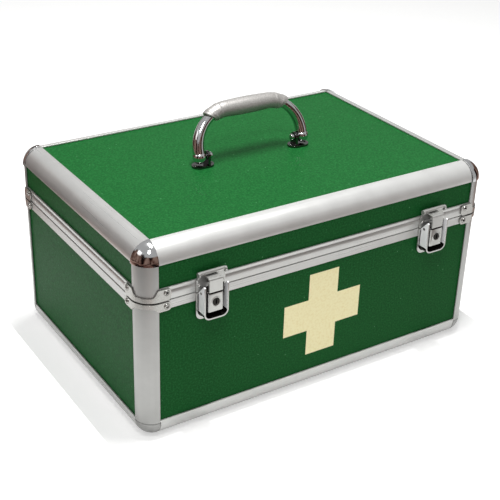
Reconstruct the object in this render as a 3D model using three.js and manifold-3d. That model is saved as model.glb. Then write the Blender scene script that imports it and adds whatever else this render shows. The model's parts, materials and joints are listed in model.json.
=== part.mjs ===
// An aluminium first aid case: laminate panels in quarter-round edge rails, a lid on a long rear hinge,
// two keyed draw latches and a folding handle. Millimetres, +X to the right, front at -Y, +Z up.
// The origin is the middle of the case's footprint, and z = 0 is the surface that it stands on.
import * as THREE from "three";
import { mergeVertices } from "three/addons/utils/BufferGeometryUtils.js";
import Module from "manifold-3d";

const wasm = await Module();
wasm.setup();

// Case as a whole, over the rails
const WIDTH = 350;
const DEPTH = 240;
const HEIGHT = 178;
const PARTING_HEIGHT = 130.5;
const CLEARANCE = 0.3;

// Edge rails: a quarter-round section with a slot on each face for a panel
const EDGE_RADIUS = 15.5;
const RAIL_WALL = 1.2;
const RAIL_LIP = 1.3;
const SLOT_FLOOR = 11;
const TOP_RAIL_TOP_LEG = 16.5;
const BOTTOM_RAIL_SIDE_LEG = 18;
const BOTTOM_RAIL_FOOT = 24;
const INNER_LEG_SETBACK = 1;
const PANEL_THICKNESS = 4;

// Corners
const BALL_PROUD = 1;
const BALL_WALL = 4;

// Closing frames round the parting line
const CASE_FRAME_HEIGHT = 7.4;
const LID_FRAME_HEIGHT = 11.3;
const FRAME_GAP = 0.4;
const FRAME_WEB = 1.2;
const LAND_THICKNESS = 2.8;
const TONGUE_WIDTH = 2;
const TONGUE_HEIGHT = 2.2;
const GROOVE_DEPTH = 2.5;
const FACE_GROOVE_WIDTH = 1.2;
const FACE_GROOVE_DEPTH = 0.4;
const FACE_GROOVE_INSET = 3;
const FACE_TAPER_HEIGHT = 4.5;
const FACE_TAPER_DEPTH = 0.5;

// Corner clamps: a band round the corner with a riveted tab on each face
const CLAMP_THICKNESS = 1;
const CLAMP_REACH = 25.5;
const CASE_CLAMP_HEIGHT = 7.5;
const LID_CLAMP_HEIGHT = 10.2;
const CLAMP_BAND = 4;
const CLAMP_PARTING_GAP = 1.6;
const CLAMP_TAB_RADIUS = 3;
const CLAMP_RIVET_INSET = 4;
const CASE_CLAMP_RIVET_RISE = 3.4;
const LID_CLAMP_RIVET_RISE = 7;
const CLAMP_BEND_START = 5;
const CLAMP_BEND_END = 22;
const RIVET_RADIUS = 2.2;
const RIVET_HEIGHT = 0.9;

// Draw latches: heights are counted from the parting line and from the lever's pivot
const LATCH_INSET = 61;
const LATCH_WIDTH = 26.4;
const LATCH_DROP = 25.2;
const LATCH_CORNER_RADIUS = 5.2;
const LATCH_PLATE = 1;
const LATCH_PAD_INSET = 2.3;
const CUP_WIDTH = 22.4;
const CUP_WALL = 1.3;
const CUP_OUT = 10.5;
const CUP_FOOT = 3;
const CUP_CORNER_RADIUS = 5.5;
const CUP_EAR_RISE = 8;
const CUP_EAR_RADIUS = 1.3;
const PIVOT_RISE = 0.5;
const PIVOT_OUT = 5;
const PIVOT_RADIUS = 1.1;
const LEVER_WIDTH = 14;
const LEVER_LENGTH = 17.1;
const LEVER_TOP_RISE = 0.7;
const LEVER_BACK = 2;
const LEVER_FACE = 9.5;
const LEVER_WALL = 1.2;
const LEVER_EDGE_RADIUS = 1.5;
const LEVER_EAR_RADIUS = 2.8;
const LEVER_LIP = 2.4;
const CLAW_PIN_OUT = 4;
const CLAW_PIN_DROP = 6.5;
const CLAW_PIN_RADIUS = 1;
const CLAW_BOSS_WALL = 1;
const CLAW_ARM_INNER = 7.4;
const CLAW_ARM_WALL = 1;
const CLAW_ARM_FRONT = 7.7;
const CLAW_GAP = 0.6;
const CLAW_WIDTH = 12.2;
const CLAW_RISE = 13.4;
const CLAW_HOOK_WIDTH = 10.8;
const CLAW_HOOK_THICKNESS = 1.2;
const CLAW_HOOK_GAP = 0.4;
const CLAW_YOKE_GAP = 0.8;
const CLAW_YOKE_HEIGHT = 3.7;
const LOCK_DROP = 7.6;
const LOCK_RADIUS = 3;
const LOCK_FACE = 10;
const LOCK_BACK = 4.2;
const LOCK_CAM_REACH = 4.6;
const LOCK_CAM_WIDTH = 2.4;
const LOCK_CAM_THICKNESS = 1.4;
const KEYWAY_WIDTH = 1.2;
const KEYWAY_LENGTH = 3.8;
const KEYWAY_DEPTH = 3;
const STRIKER_BEAD_RADIUS = 1.7;
const STRIKER_BEAD_OUT = 2.3;
const STRIKER_BEAD_RISE = 5.2;
const STRIKER_BEAD_WIDTH = 24;
const STRIKER_EAR_RADIUS = 2.3;
const STRIKER_EAR_WIDTH = 1.6;
const STRIKER_EAR_SHIFT = 0.5;
const STRIKER_CORNER_RADIUS = 1.5;
const STRIKER_RIVET_INSET = 2.8;
const LATCH_RIVET_RADIUS = 1.65;

// Handle
const HANDLE_SPAN = 109;
const HANDLE_ARC_RADIUS = 33;
const HANDLE_LEG = 4.3;
const HANDLE_PIVOT_RISE = 9.1;
const HANDLE_LEAN = 18;
const BOW_TOP_RADIUS = 4.5;
const BOW_FOOT_RADIUS = 5.5;
const BOW_BALL_RADIUS = 6.2;
const HANDLE_PIN_RADIUS = 2;
const HANDLE_KNOB_RADIUS = 3;
const HANDLE_KNOB_LENGTH = 2.9;
const GRIP_END_RADIUS = 7;
const GRIP_END_SLANT = 0.42;
const GRIP_MIDDLE_RADIUS = 8;
const GRIP_RIB = 0.3;
const GRIP_ARC = 31;
const FOOT_LENGTH = 21;
const FOOT_WIDTH = 13;
const FOOT_THICKNESS = 1.6;
const FOOT_EAR_THICKNESS = 2.4;
const FOOT_EAR_RADIUS = 4.6;
const FOOT_EAR_GAP = 0.5;
const FOOT_EAR_SETBACK = 5;
const SCREW_RADIUS = 1.8;
const SCREW_HEIGHT = 0.7;
const SCREW_INSET = 2.6;

// Rear hinge
const HINGE_INSET = 35;
const HINGE_KNUCKLES = 13;
const HINGE_PIN_RADIUS = 1.25;
const HINGE_BARREL_RADIUS = 2.9;
const HINGE_LEAF_THICKNESS = 1.2;
const HINGE_LEAF_HEIGHT = 7.4;
const HINGE_REACH = 10;
const STOP_EAR_THICKNESS = 1.5;
const STOP_EAR_TILT = 5;
const STOP_EAR_KNUCKLES = [3, 9];

const ARC_STEPS = 8;
const BORE_SIDES = 16;

// Sizes that follow from the ones above
const SLOT_WIDTH = PANEL_THICKNESS + 2 * CLEARANCE;
const PANEL_DEPTH = RAIL_LIP + CLEARANCE;
const INNER_WALL_START = RAIL_LIP + SLOT_WIDTH;
const INNER_WALL_END = INNER_WALL_START + RAIL_WALL;
const PANEL_EDGE = SLOT_FLOOR + CLEARANCE;
const CORNER_END = EDGE_RADIUS + CLEARANCE;
const CASE_FRAME_TOP = PARTING_HEIGHT - FRAME_GAP / 2;
const CASE_FRAME_BOTTOM = CASE_FRAME_TOP - CASE_FRAME_HEIGHT;
const LID_FRAME_BOTTOM = PARTING_HEIGHT + FRAME_GAP / 2;
const LID_FRAME_TOP = LID_FRAME_BOTTOM + LID_FRAME_HEIGHT;
const HALF_WIDTH = WIDTH / 2;
const HALF_DEPTH = DEPTH / 2;
const LATCH_PLATE_FACE = CLEARANCE + LATCH_PLATE;
const LATCH_BOTTOM = PARTING_HEIGHT - LATCH_DROP;
const PIVOT_HEIGHT = PARTING_HEIGHT + PIVOT_RISE;
const LEVER_TOP = PIVOT_HEIGHT + LEVER_TOP_RISE;
const LEVER_BOTTOM = LEVER_TOP - LEVER_LENGTH;
const CLAW_PIN_HEIGHT = PIVOT_HEIGHT - CLAW_PIN_DROP;
const CLAW_TOP = PIVOT_HEIGHT + CLAW_RISE;
const LOCK_HEIGHT = PIVOT_HEIGHT - LOCK_DROP;
const STRIKER_BEAD_HEIGHT = LID_FRAME_TOP + STRIKER_BEAD_RISE;
const HINGE_LENGTH = WIDTH - 2 * HINGE_INSET;
const HINGE_PIN_OUT = CLEARANCE + HINGE_BARREL_RADIUS;

const aluminium = new THREE.MeshStandardMaterial({ color: 0xc9c9c6, roughness: 0.35, metalness: 1 });
const chrome = new THREE.MeshStandardMaterial({ color: 0xe4e4e2, roughness: 0.12, metalness: 1 });
const laminate = new THREE.MeshStandardMaterial({ color: 0x1f6a38, roughness: 0.5, metalness: 0 });
const gripPlastic = new THREE.MeshStandardMaterial({ color: 0xb4b2ae, roughness: 0.45, metalness: 0.2 });

// Solids

// A closed geometry as a solid for cutting and joining.
function solidOf(geometry) {
  const bare = geometry.index ? geometry.toNonIndexed() : geometry.clone();
  bare.deleteAttribute("normal");
  bare.deleteAttribute("uv");
  const merged = mergeVertices(bare, 1e-4);
  const corners = merged.index.array;
  const kept = [];
  for (let i = 0; i < corners.length; i += 3) {
    const [a, b, c] = [corners[i], corners[i + 1], corners[i + 2]];
    if (a !== b && b !== c && c !== a) kept.push(a, b, c);
  }
  const mesh = new wasm.Mesh({
    numProp: 3,
    vertProperties: merged.attributes.position.array,
    triVerts: new Uint32Array(kept),
  });
  return new wasm.Manifold(mesh);
}

// A named mesh of a solid, with flat faces.
function meshOf(name, solid, material) {
  const { vertProperties, triVerts } = solid.getMesh();
  const geometry = new THREE.BufferGeometry();
  geometry.setAttribute("position", new THREE.BufferAttribute(new Float32Array(vertProperties), 3));
  geometry.setIndex(new THREE.BufferAttribute(new Uint32Array(triVerts), 1));
  const faceted = geometry.toNonIndexed();
  faceted.computeVertexNormals();
  const mesh = new THREE.Mesh(faceted, material);
  mesh.name = name;
  return mesh;
}

function joined(...solids) {
  return solids.reduce((sum, next) => sum.add(next));
}

function moved(solid, matrix) {
  return solid.transform(matrix.elements);
}

// A pair of pieces, one mirrored across x = 0.
function mirroredPair(solid) {
  return solid.add(moved(solid, new THREE.Matrix4().makeScale(-1, 1, 1)));
}

function shapeOf(points, holes = []) {
  const shape = new THREE.Shape(points.map(([a, b]) => new THREE.Vector2(a, b)));
  for (const hole of holes) shape.holes.push(new THREE.Path(hole.map(([a, b]) => new THREE.Vector2(a, b))));
  return shape;
}

function prism(points, length, holes) {
  return new THREE.ExtrudeGeometry(shapeOf(points, holes), { depth: length, bevelEnabled: false });
}

// Prisms along each axis; the outline is given in the other two axes, in X, Y, Z order.
function alongX(points, from, to) {
  const turn = new THREE.Matrix4().makeBasis(
    new THREE.Vector3(0, 1, 0),
    new THREE.Vector3(0, 0, 1),
    new THREE.Vector3(1, 0, 0),
  );
  return solidOf(prism(points, to - from).applyMatrix4(turn).translate(from, 0, 0));
}

function alongY(points, from, to) {
  return solidOf(prism(points, to - from).rotateX(Math.PI / 2).translate(0, to, 0));
}

function alongZ(points, from, to) {
  return solidOf(prism(points, to - from).translate(0, 0, from));
}

function rectangle(a0, a1, b0, b1) {
  return [
    [a0, b0],
    [a1, b0],
    [a1, b1],
    [a0, b1],
  ];
}

function box(x0, x1, y0, y1, z0, z1) {
  return alongZ(rectangle(x0, x1, y0, y1), z0, z1);
}

// Points of an arc about (a, b) from one angle to another, in degrees.
function arc(a, b, radius, from, to, steps = ARC_STEPS) {
  const points = [];
  for (let i = 0; i <= steps; i += 1) {
    const angle = THREE.MathUtils.degToRad(from + ((to - from) * i) / steps);
    points.push([a + radius * Math.cos(angle), b + radius * Math.sin(angle)]);
  }
  return points;
}

function circle(a, b, radius, sides = BORE_SIDES) {
  return arc(a, b, radius, 0, 360 - 360 / sides, sides - 1);
}

// A domed head standing on the plane z = 0.
function dome(radius, height) {
  const profile = [new THREE.Vector2(0, -CLEARANCE), new THREE.Vector2(radius, -CLEARANCE)];
  for (let i = 0; i <= 3; i += 1) {
    const angle = (Math.PI / 2) * (i / 3);
    profile.push(new THREE.Vector2(i === 3 ? 0 : radius * Math.cos(angle), height * Math.sin(angle)));
  }
  return solidOf(new THREE.LatheGeometry(profile, 12).rotateX(Math.PI / 2));
}

// A dome placed at a point, standing out along a direction.
function domeAt(point, direction, radius, height) {
  const turn = new THREE.Quaternion().setFromUnitVectors(new THREE.Vector3(0, 0, 1), direction);
  const place = new THREE.Matrix4().compose(point, turn, new THREE.Vector3(1, 1, 1));
  return moved(dome(radius, height), place);
}

// A skin through rings of points: closed on itself, or capped by a fan at each end.
function loft(rings, closed) {
  const size = rings[0].length;
  const position = rings.flat().flatMap((p) => [p.x, p.y, p.z]);
  const index = [];
  const spans = closed ? rings.length : rings.length - 1;
  for (let i = 0; i < spans; i += 1) {
    const here = i * size;
    const next = ((i + 1) % rings.length) * size;
    for (let j = 0; j < size; j += 1) {
      const k = (j + 1) % size;
      index.push(here + j, here + k, next + k, here + j, next + k, next + j);
    }
  }
  if (!closed) {
    const last = (rings.length - 1) * size;
    for (let j = 1; j < size - 1; j += 1) {
      index.push(0, j + 1, j, last, last + j, last + j + 1);
    }
  }
  const geometry = new THREE.BufferGeometry();
  geometry.setAttribute("position", new THREE.Float32BufferAttribute(position, 3));
  geometry.setIndex(index);
  return solidOf(geometry);
}

// Edge rails

// The section from the outer corner of the box, with u along one face and v along the other.
function railSection(uLeg, vLeg) {
  const r = EDGE_RADIUS;
  const outer = [
    ...(uLeg > r ? [[uLeg, 0]] : []),
    ...arc(r, r, r, 270, 180),
    ...(vLeg > r ? [[0, vLeg]] : []),
    [RAIL_LIP, vLeg],
    [RAIL_LIP, SLOT_FLOOR],
    [INNER_WALL_START, SLOT_FLOOR],
    [INNER_WALL_START, vLeg - INNER_LEG_SETBACK],
    [INNER_WALL_END, vLeg - INNER_LEG_SETBACK],
    [INNER_WALL_END, INNER_WALL_END],
    [uLeg - INNER_LEG_SETBACK, INNER_WALL_END],
    [uLeg - INNER_LEG_SETBACK, INNER_WALL_START],
    [SLOT_FLOOR, INNER_WALL_START],
    [SLOT_FLOOR, RAIL_LIP],
    [uLeg, RAIL_LIP],
  ];
  const inner = r - RAIL_WALL;
  const edge = SLOT_FLOOR - RAIL_WALL;
  const spread = THREE.MathUtils.radToDeg(Math.asin((r - edge) / inner));
  const chamber = [
    ...arc(r, r, inner, 180 + spread, 270 - spread),
    [edge, INNER_WALL_START],
    [INNER_WALL_START, INNER_WALL_START],
    [INNER_WALL_START, edge],
  ];
  return { outer, chamber };
}

// A rail from one end to the other along an edge of the box.
function rail(section, length, corner, u, v, along) {
  const place = new THREE.Matrix4().makeBasis(u, v, along).setPosition(corner);
  const bar = solidOf(prism(section.outer, length, [section.chamber]));
  return moved(bar, place);
}

const X = new THREE.Vector3(1, 0, 0);
const Y = new THREE.Vector3(0, 1, 0);
const Z = new THREE.Vector3(0, 0, 1);

const SIDES = [
  { name: "front", axis: X, inward: Y, end: new THREE.Vector3(0, -HALF_DEPTH, 0) },
  { name: "back", axis: X, inward: Y.clone().negate(), end: new THREE.Vector3(0, HALF_DEPTH, 0) },
  { name: "left", axis: Y, inward: X, end: new THREE.Vector3(-HALF_WIDTH, 0, 0) },
  { name: "right", axis: Y, inward: X.clone().negate(), end: new THREE.Vector3(HALF_WIDTH, 0, 0) },
];

const CORNERS = [
  { name: "front_left", sx: -1, sy: -1 },
  { name: "front_right", sx: 1, sy: -1 },
  { name: "back_left", sx: -1, sy: 1 },
  { name: "back_right", sx: 1, sy: 1 },
];

// A rail in the top or bottom of the box, mitred against its neighbours.
function levelRail(side, height, down, faceLeg, sideLeg) {
  const half = side.axis === X ? HALF_WIDTH : HALF_DEPTH;
  const length = 2 * (half - CORNER_END);
  const corner = side.end.clone().addScaledVector(side.axis, -length / 2).setZ(height);
  const v = Z.clone().multiplyScalar(down ? -1 : 1);
  let bar = rail(railSection(faceLeg, sideLeg), length, corner, side.inward, v, side.axis);
  const gap = CLEARANCE / 2;
  for (const way of [-1, 1]) {
    const normal = side.inward.clone().multiplyScalar(-1).addScaledVector(side.axis, -way).normalize();
    const boxCorner = side.end.clone().addScaledVector(side.axis, way * half);
    bar = bar.trimByPlane(normal.toArray(), normal.dot(boxCorner) + gap);
  }
  return bar;
}

function post(corner, from, to) {
  const u = X.clone().multiplyScalar(-corner.sx);
  const v = Y.clone().multiplyScalar(-corner.sy);
  const foot = new THREE.Vector3(corner.sx * HALF_WIDTH, corner.sy * HALF_DEPTH, from);
  return rail(railSection(EDGE_RADIUS, EDGE_RADIUS), to - from, foot, u, v, Z);
}

// A corner of the box: one eighth of a hollow ball.
function ballCorner(corner, top, proud) {
  const x = corner.sx * (HALF_WIDTH - EDGE_RADIUS);
  const y = corner.sy * (HALF_DEPTH - EDGE_RADIUS);
  const z = top ? HEIGHT - EDGE_RADIUS : EDGE_RADIUS;
  const reach = EDGE_RADIUS + proud;
  const place = new THREE.Matrix4().makeTranslation(x, y, z);
  const ball = solidOf(new THREE.SphereGeometry(reach, 32, 16));
  const hollow = solidOf(new THREE.SphereGeometry(reach - BALL_WALL, 24, 12));
  const over = 2 * reach;
  const eighth = box(0, over, 0, over, 0, over);
  const facing = new THREE.Matrix4().makeScale(corner.sx, corner.sy, top ? 1 : -1);
  return moved(moved(ball.subtract(hollow).intersect(eighth), facing), place);
}

// Panels

// A panel's outline with a tongue for each of the four slots round it and open notches at the corners.
function panelOutline(a0, a1, b0, b1, tongueA, tongueB0, tongueB1) {
  return [
    [a0 + tongueA, b0],
    [a1 - tongueA, b0],
    [a1 - tongueA, b0 + tongueB0],
    [a1, b0 + tongueB0],
    [a1, b1 - tongueB1],
    [a1 - tongueA, b1 - tongueB1],
    [a1 - tongueA, b1],
    [a0 + tongueA, b1],
    [a0 + tongueA, b1 - tongueB1],
    [a0, b1 - tongueB1],
    [a0, b0 + tongueB0],
    [a0 + tongueA, b0 + tongueB0],
  ];
}

const CORNER_NOTCH = CORNER_END - PANEL_EDGE;

function uprightPanel(side, from, to, tongueFrom, tongueTo) {
  const half = side.axis === X ? HALF_WIDTH : HALF_DEPTH;
  const outer = side.axis === X ? HALF_DEPTH : HALF_WIDTH;
  const a = half - PANEL_EDGE;
  const outline = panelOutline(-a, a, from, to, CORNER_NOTCH, tongueFrom, tongueTo);
  const near = outer - PANEL_DEPTH - PANEL_THICKNESS;
  const far = outer - PANEL_DEPTH;
  const sign = side.name === "front" || side.name === "left" ? -1 : 1;
  const [low, high] = sign < 0 ? [-far, -near] : [near, far];
  return side.axis === X ? alongY(outline, low, high) : alongX(outline, low, high);
}

function levelPanel(low) {
  const a = HALF_WIDTH - PANEL_EDGE;
  const b = HALF_DEPTH - PANEL_EDGE;
  const outline = panelOutline(-a, a, -b, b, CORNER_NOTCH, CORNER_NOTCH, CORNER_NOTCH);
  return alongZ(outline, low, low + PANEL_THICKNESS);
}

// Closing frames

// A section swept once round the box; its points are depths from the faces and heights.
function frameRing(section) {
  const r = EDGE_RADIUS;
  const rings = [];
  const middles = [
    [HALF_WIDTH - r, HALF_DEPTH - r, 0],
    [-HALF_WIDTH + r, HALF_DEPTH - r, 90],
    [-HALF_WIDTH + r, -HALF_DEPTH + r, 180],
    [HALF_WIDTH - r, -HALF_DEPTH + r, 270],
  ];
  for (const [x, y, start] of middles) {
    for (let i = 0; i <= ARC_STEPS; i += 1) {
      const angle = THREE.MathUtils.degToRad(start + (90 * i) / ARC_STEPS);
      const out = [Math.cos(angle), Math.sin(angle)];
      rings.push(
        section.map(([depth, z]) => new THREE.Vector3(x + out[0] * (r - depth), y + out[1] * (r - depth), z)),
      );
    }
  }
  return loft(rings.reverse(), true);
}

// A ring whose corners make room for the posts between two heights. Its outer lip ends there too, so that
// the clamps bridge a joint that is as deep as the panels' faces.
function withCutCorners(ring, from, to) {
  const r = EDGE_RADIUS;
  let cut = ring;
  for (const { sx, sy } of CORNERS) {
    const [x0, x1] = [sx * (HALF_WIDTH - CORNER_END), sx * WIDTH].sort((a, b) => a - b);
    const [y0, y1] = [sy * (HALF_DEPTH - CORNER_END), sy * DEPTH].sort((a, b) => a - b);
    const block = (low, high) => box(x0, x1, y0, y1, low, high);
    const round = circle(sx * (HALF_WIDTH - r), sy * (HALF_DEPTH - r), r - PANEL_DEPTH, 4 * ARC_STEPS);
    const lip = block(0, HEIGHT).subtract(alongZ(round, -1, HEIGHT + 1));
    cut = cut.subtract(lip).subtract(block(from, to));
  }
  return cut;
}

const CASE_CHANNEL_TOP = CASE_FRAME_TOP - LAND_THICKNESS;
const TONGUE_MIDDLE = INNER_WALL_END / 2;

function caseFrame() {
  const tongueOuter = TONGUE_MIDDLE - TONGUE_WIDTH / 2;
  const tongueInner = TONGUE_MIDDLE + TONGUE_WIDTH / 2;
  const tongueTop = CASE_FRAME_TOP + TONGUE_HEIGHT;
  const ring = frameRing([
    [0, CASE_FRAME_BOTTOM],
    [0, CASE_FRAME_TOP],
    [tongueOuter, CASE_FRAME_TOP],
    [tongueOuter, tongueTop],
    [tongueInner, tongueTop],
    [tongueInner, CASE_FRAME_TOP],
    [INNER_WALL_END, CASE_FRAME_TOP],
    [INNER_WALL_END, CASE_FRAME_BOTTOM + INNER_LEG_SETBACK],
    [INNER_WALL_START, CASE_FRAME_BOTTOM + INNER_LEG_SETBACK],
    [INNER_WALL_START, CASE_CHANNEL_TOP],
    [RAIL_LIP, CASE_CHANNEL_TOP],
    [RAIL_LIP, CASE_FRAME_BOTTOM],
  ]);
  return withCutCorners(ring, 0, CASE_CHANNEL_TOP);
}

const LID_WEB_BOTTOM = LID_FRAME_BOTTOM + GROOVE_DEPTH;
const LID_CHANNEL_BOTTOM = LID_WEB_BOTTOM + FRAME_WEB;

// The lid's frame: its face slopes in towards the parting line and has a fine groove below its top.
function lidFrame() {
  const groove = LID_FRAME_TOP - FACE_GROOVE_INSET;
  const half = FACE_GROOVE_WIDTH / 2;
  const ring = frameRing([
    [FACE_TAPER_DEPTH, LID_FRAME_BOTTOM],
    [0, LID_FRAME_BOTTOM + FACE_TAPER_HEIGHT],
    [0, groove - half],
    [FACE_GROOVE_DEPTH, groove],
    [0, groove + half],
    [0, LID_FRAME_TOP],
    [RAIL_LIP, LID_FRAME_TOP],
    [RAIL_LIP, LID_CHANNEL_BOTTOM],
    [INNER_WALL_START, LID_CHANNEL_BOTTOM],
    [INNER_WALL_START, LID_FRAME_TOP - INNER_LEG_SETBACK],
    [INNER_WALL_END, LID_FRAME_TOP - INNER_LEG_SETBACK],
    [INNER_WALL_END, LID_FRAME_BOTTOM],
    [INNER_WALL_START, LID_FRAME_BOTTOM],
    [INNER_WALL_START, LID_WEB_BOTTOM],
    [RAIL_LIP, LID_WEB_BOTTOM],
    [RAIL_LIP, LID_FRAME_BOTTOM],
  ]);
  return withCutCorners(ring, LID_CHANNEL_BOTTOM, HEIGHT);
}

// Corner clamps

// Stations along a clamp: the point on the faces, the way out, and how much of the height is left there.
function clampStations(corner) {
  const stations = [];
  const r = EDGE_RADIUS;
  const ends = [0, 0.3, 0.62, 1].map((share) => CLAMP_REACH - CLAMP_TAB_RADIUS * share);
  const bend = CLAMP_BEND_END - CLAMP_BEND_START;
  const bends = [0, 0.12, 0.3, 0.55, 1].map((share) => CLAMP_BEND_START + bend * share);
  const rounding = (reach) => {
    const past = reach - (CLAMP_REACH - CLAMP_TAB_RADIUS);
    return CLAMP_TAB_RADIUS - Math.sqrt(CLAMP_TAB_RADIUS ** 2 - past ** 2);
  };
  const bandShare = (angle) => {
    return Math.sin((Math.PI / 2) * THREE.MathUtils.clamp((angle - CLAMP_BEND_START) / bend, 0, 1));
  };
  for (const reach of ends) stations.push({ u: reach, v: 0, out: [0, -1], trim: rounding(reach), band: 0 });
  const half = [0, ...bends, 45];
  const angles = [...half, ...half.slice(0, -1).reverse().map((a) => 90 - a)];
  for (const angle of angles) {
    const turn = THREE.MathUtils.degToRad(angle);
    const [s, c] = [Math.sin(turn), Math.cos(turn)];
    const band = bandShare(Math.min(angle, 90 - angle));
    stations.push({ u: r - r * s, v: r - r * c, out: [-s, -c], trim: 0, band });
  }
  for (const reach of [...ends].reverse()) {
    stations.push({ u: 0, v: reach, out: [-1, 0], trim: rounding(reach), band: 0 });
  }
  const place = ({ u, v, out, trim, band }) => ({
    x: corner.sx * (HALF_WIDTH - u),
    y: corner.sy * (HALF_DEPTH - v),
    outX: -corner.sx * out[0],
    outY: -corner.sy * out[1],
    trim,
    band,
  });
  return stations.map(place);
}

// A clamp above (up = 1) or below (up = -1) the parting line, with its band along that line.
function clamp(corner, up) {
  const full = up > 0 ? LID_CLAMP_HEIGHT : CASE_CLAMP_HEIGHT;
  const partingEdge = PARTING_HEIGHT + (up * CLAMP_PARTING_GAP) / 2;
  const rings = clampStations(corner).map((s) => {
    const near = partingEdge + up * s.trim;
    const far = partingEdge + up * (full - s.trim - s.band * (full - CLAMP_BAND));
    const at = (depth, z) => new THREE.Vector3(s.x + s.outX * depth, s.y + s.outY * depth, z);
    const inner = CLEARANCE;
    const outer = CLEARANCE + CLAMP_THICKNESS;
    return [at(inner, near), at(outer, near), at(outer, far), at(inner, far)];
  });
  const flipped = up * corner.sx * corner.sy < 0;
  const plate = loft(flipped ? rings.reverse() : rings, false);
  const inset = CLAMP_REACH - CLAMP_RIVET_INSET;
  const face = CLEARANCE + CLAMP_THICKNESS;
  const z = partingEdge + up * (up > 0 ? LID_CLAMP_RIVET_RISE : CASE_CLAMP_RIVET_RISE);
  const onLong = new THREE.Vector3(corner.sx * (HALF_WIDTH - inset), corner.sy * (HALF_DEPTH + face), z);
  const onShort = new THREE.Vector3(corner.sx * (HALF_WIDTH + face), corner.sy * (HALF_DEPTH - inset), z);
  return joined(
    plate,
    domeAt(onLong, new THREE.Vector3(0, corner.sy, 0), RIVET_RADIUS, RIVET_HEIGHT),
    domeAt(onShort, new THREE.Vector3(corner.sx, 0, 0), RIVET_RADIUS, RIVET_HEIGHT),
  );
}

// Latches. Each is built about x = 0 with its back on the front face, so y is minus the distance out.

const out = (points) => points.map(([distance, z]) => [-distance, z]);

// An outline with upright sides and a rounded bottom.
function latchOutline(half, bottom, radius, top) {
  return [
    [-half, top],
    ...arc(-half + radius, bottom + radius, radius, 180, 270, 5),
    ...arc(half - radius, bottom + radius, radius, 270, 360, 5),
    [half, top],
  ];
}

// The base: a plate, a pad that rests on the panel, and a deep cup whose sides end in ears for the pivots.
function latchBase() {
  const top = CASE_FRAME_TOP - CLEARANCE;
  const face = LATCH_PLATE_FACE;
  const plateOutline = latchOutline(LATCH_WIDTH / 2, LATCH_BOTTOM, LATCH_CORNER_RADIUS, top);
  const plate = alongY(plateOutline, -face, -CLEARANCE);
  const padTop = CASE_FRAME_BOTTOM - CLEARANCE;
  const padBack = PANEL_DEPTH - CLEARANCE;
  const padHalf = LATCH_WIDTH / 2 - LATCH_PAD_INSET;
  const padBottom = LATCH_BOTTOM + LATCH_PAD_INSET;
  const pad = box(-padHalf, padHalf, -CLEARANCE - LATCH_PLATE / 2, padBack, padBottom, padTop);
  const half = CUP_WIDTH / 2;
  const bottom = LATCH_BOTTOM + CUP_FOOT;
  const earTop = PARTING_HEIGHT + CUP_EAR_RISE;
  const innerRadius = CUP_CORNER_RADIUS - CUP_WALL;
  const outline = latchOutline(half, bottom, CUP_CORNER_RADIUS, earTop);
  const innerOutline = latchOutline(half - CUP_WALL, bottom + CUP_WALL, innerRadius, earTop + 1);
  const block = alongY(outline, -CUP_OUT, -face + CLEARANCE);
  const well = alongY(innerOutline, -CUP_OUT - 1, 0);
  const side = alongX(
    out([
      [0, LATCH_BOTTOM],
      [CUP_OUT, LATCH_BOTTOM],
      ...arc(CUP_OUT - CUP_EAR_RADIUS, earTop - CUP_EAR_RADIUS, CUP_EAR_RADIUS, 0, 130, 5),
      [face - CLEARANCE, top],
      [0, top],
    ]),
    -half,
    half,
  );
  const hole = out(circle(PIVOT_OUT, PIVOT_HEIGHT, PIVOT_RADIUS + CLEARANCE));
  const bore = alongX(hole, -LATCH_WIDTH, LATCH_WIDTH);
  const cup = block.subtract(well).intersect(side).subtract(bore);
  return joined(plate, pad, cup);
}

// The lever: a pressed cover with side flanges, pivot stubs and a hole for the lock.
function latchLever() {
  const r = LEVER_EDGE_RADIUS;
  const half = LEVER_WIDTH / 2;
  const earAngle = THREE.MathUtils.radToDeg(Math.asin(LEVER_TOP_RISE / LEVER_EAR_RADIUS));
  const profile = out([
    [LEVER_BACK, LEVER_BOTTOM + LEVER_LIP],
    [LEVER_BACK + r, LEVER_BOTTOM + CLEARANCE],
    [LEVER_FACE, LEVER_BOTTOM],
    ...arc(LEVER_FACE - r, LEVER_TOP - r, r, 0, 90, 4),
    ...arc(PIVOT_OUT, PIVOT_HEIGHT, LEVER_EAR_RADIUS, earAngle, 180),
    [LEVER_BACK, PIVOT_HEIGHT - LEVER_EAR_RADIUS],
  ]);
  const softFront = [
    [-half, 0],
    ...arc(-half + r, -LEVER_FACE + r, r, 180, 270, 4),
    ...arc(half - r, -LEVER_FACE + r, r, 270, 360, 4),
    [half, 0],
  ];
  const block = alongX(profile.reverse(), -half, half);
  const softened = block.intersect(alongZ(softFront, LATCH_BOTTOM, CLAW_TOP));
  const wellHalf = half - LEVER_WALL;
  const well = box(-wellHalf, wellHalf, -LEVER_FACE + LEVER_WALL, 0, LEVER_BOTTOM + LEVER_WALL, CLAW_TOP);
  const lockHole = alongY(circle(0, LOCK_HEIGHT, LOCK_RADIUS + CLEARANCE, 20), -LOCK_FACE, -LOCK_BACK);
  const clawHoles = alongX(
    out(circle(CLAW_PIN_OUT, CLAW_PIN_HEIGHT, CLAW_PIN_RADIUS + CLEARANCE, 12)),
    -LATCH_WIDTH,
    LATCH_WIDTH,
  );
  const stub = alongX(
    circle(-PIVOT_OUT, PIVOT_HEIGHT, PIVOT_RADIUS, 12),
    half - LEVER_WALL / 2,
    CUP_WIDTH / 2,
  );
  return softened.subtract(well).subtract(lockHole).subtract(clawHoles).add(mirroredPair(stub));
}

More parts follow.
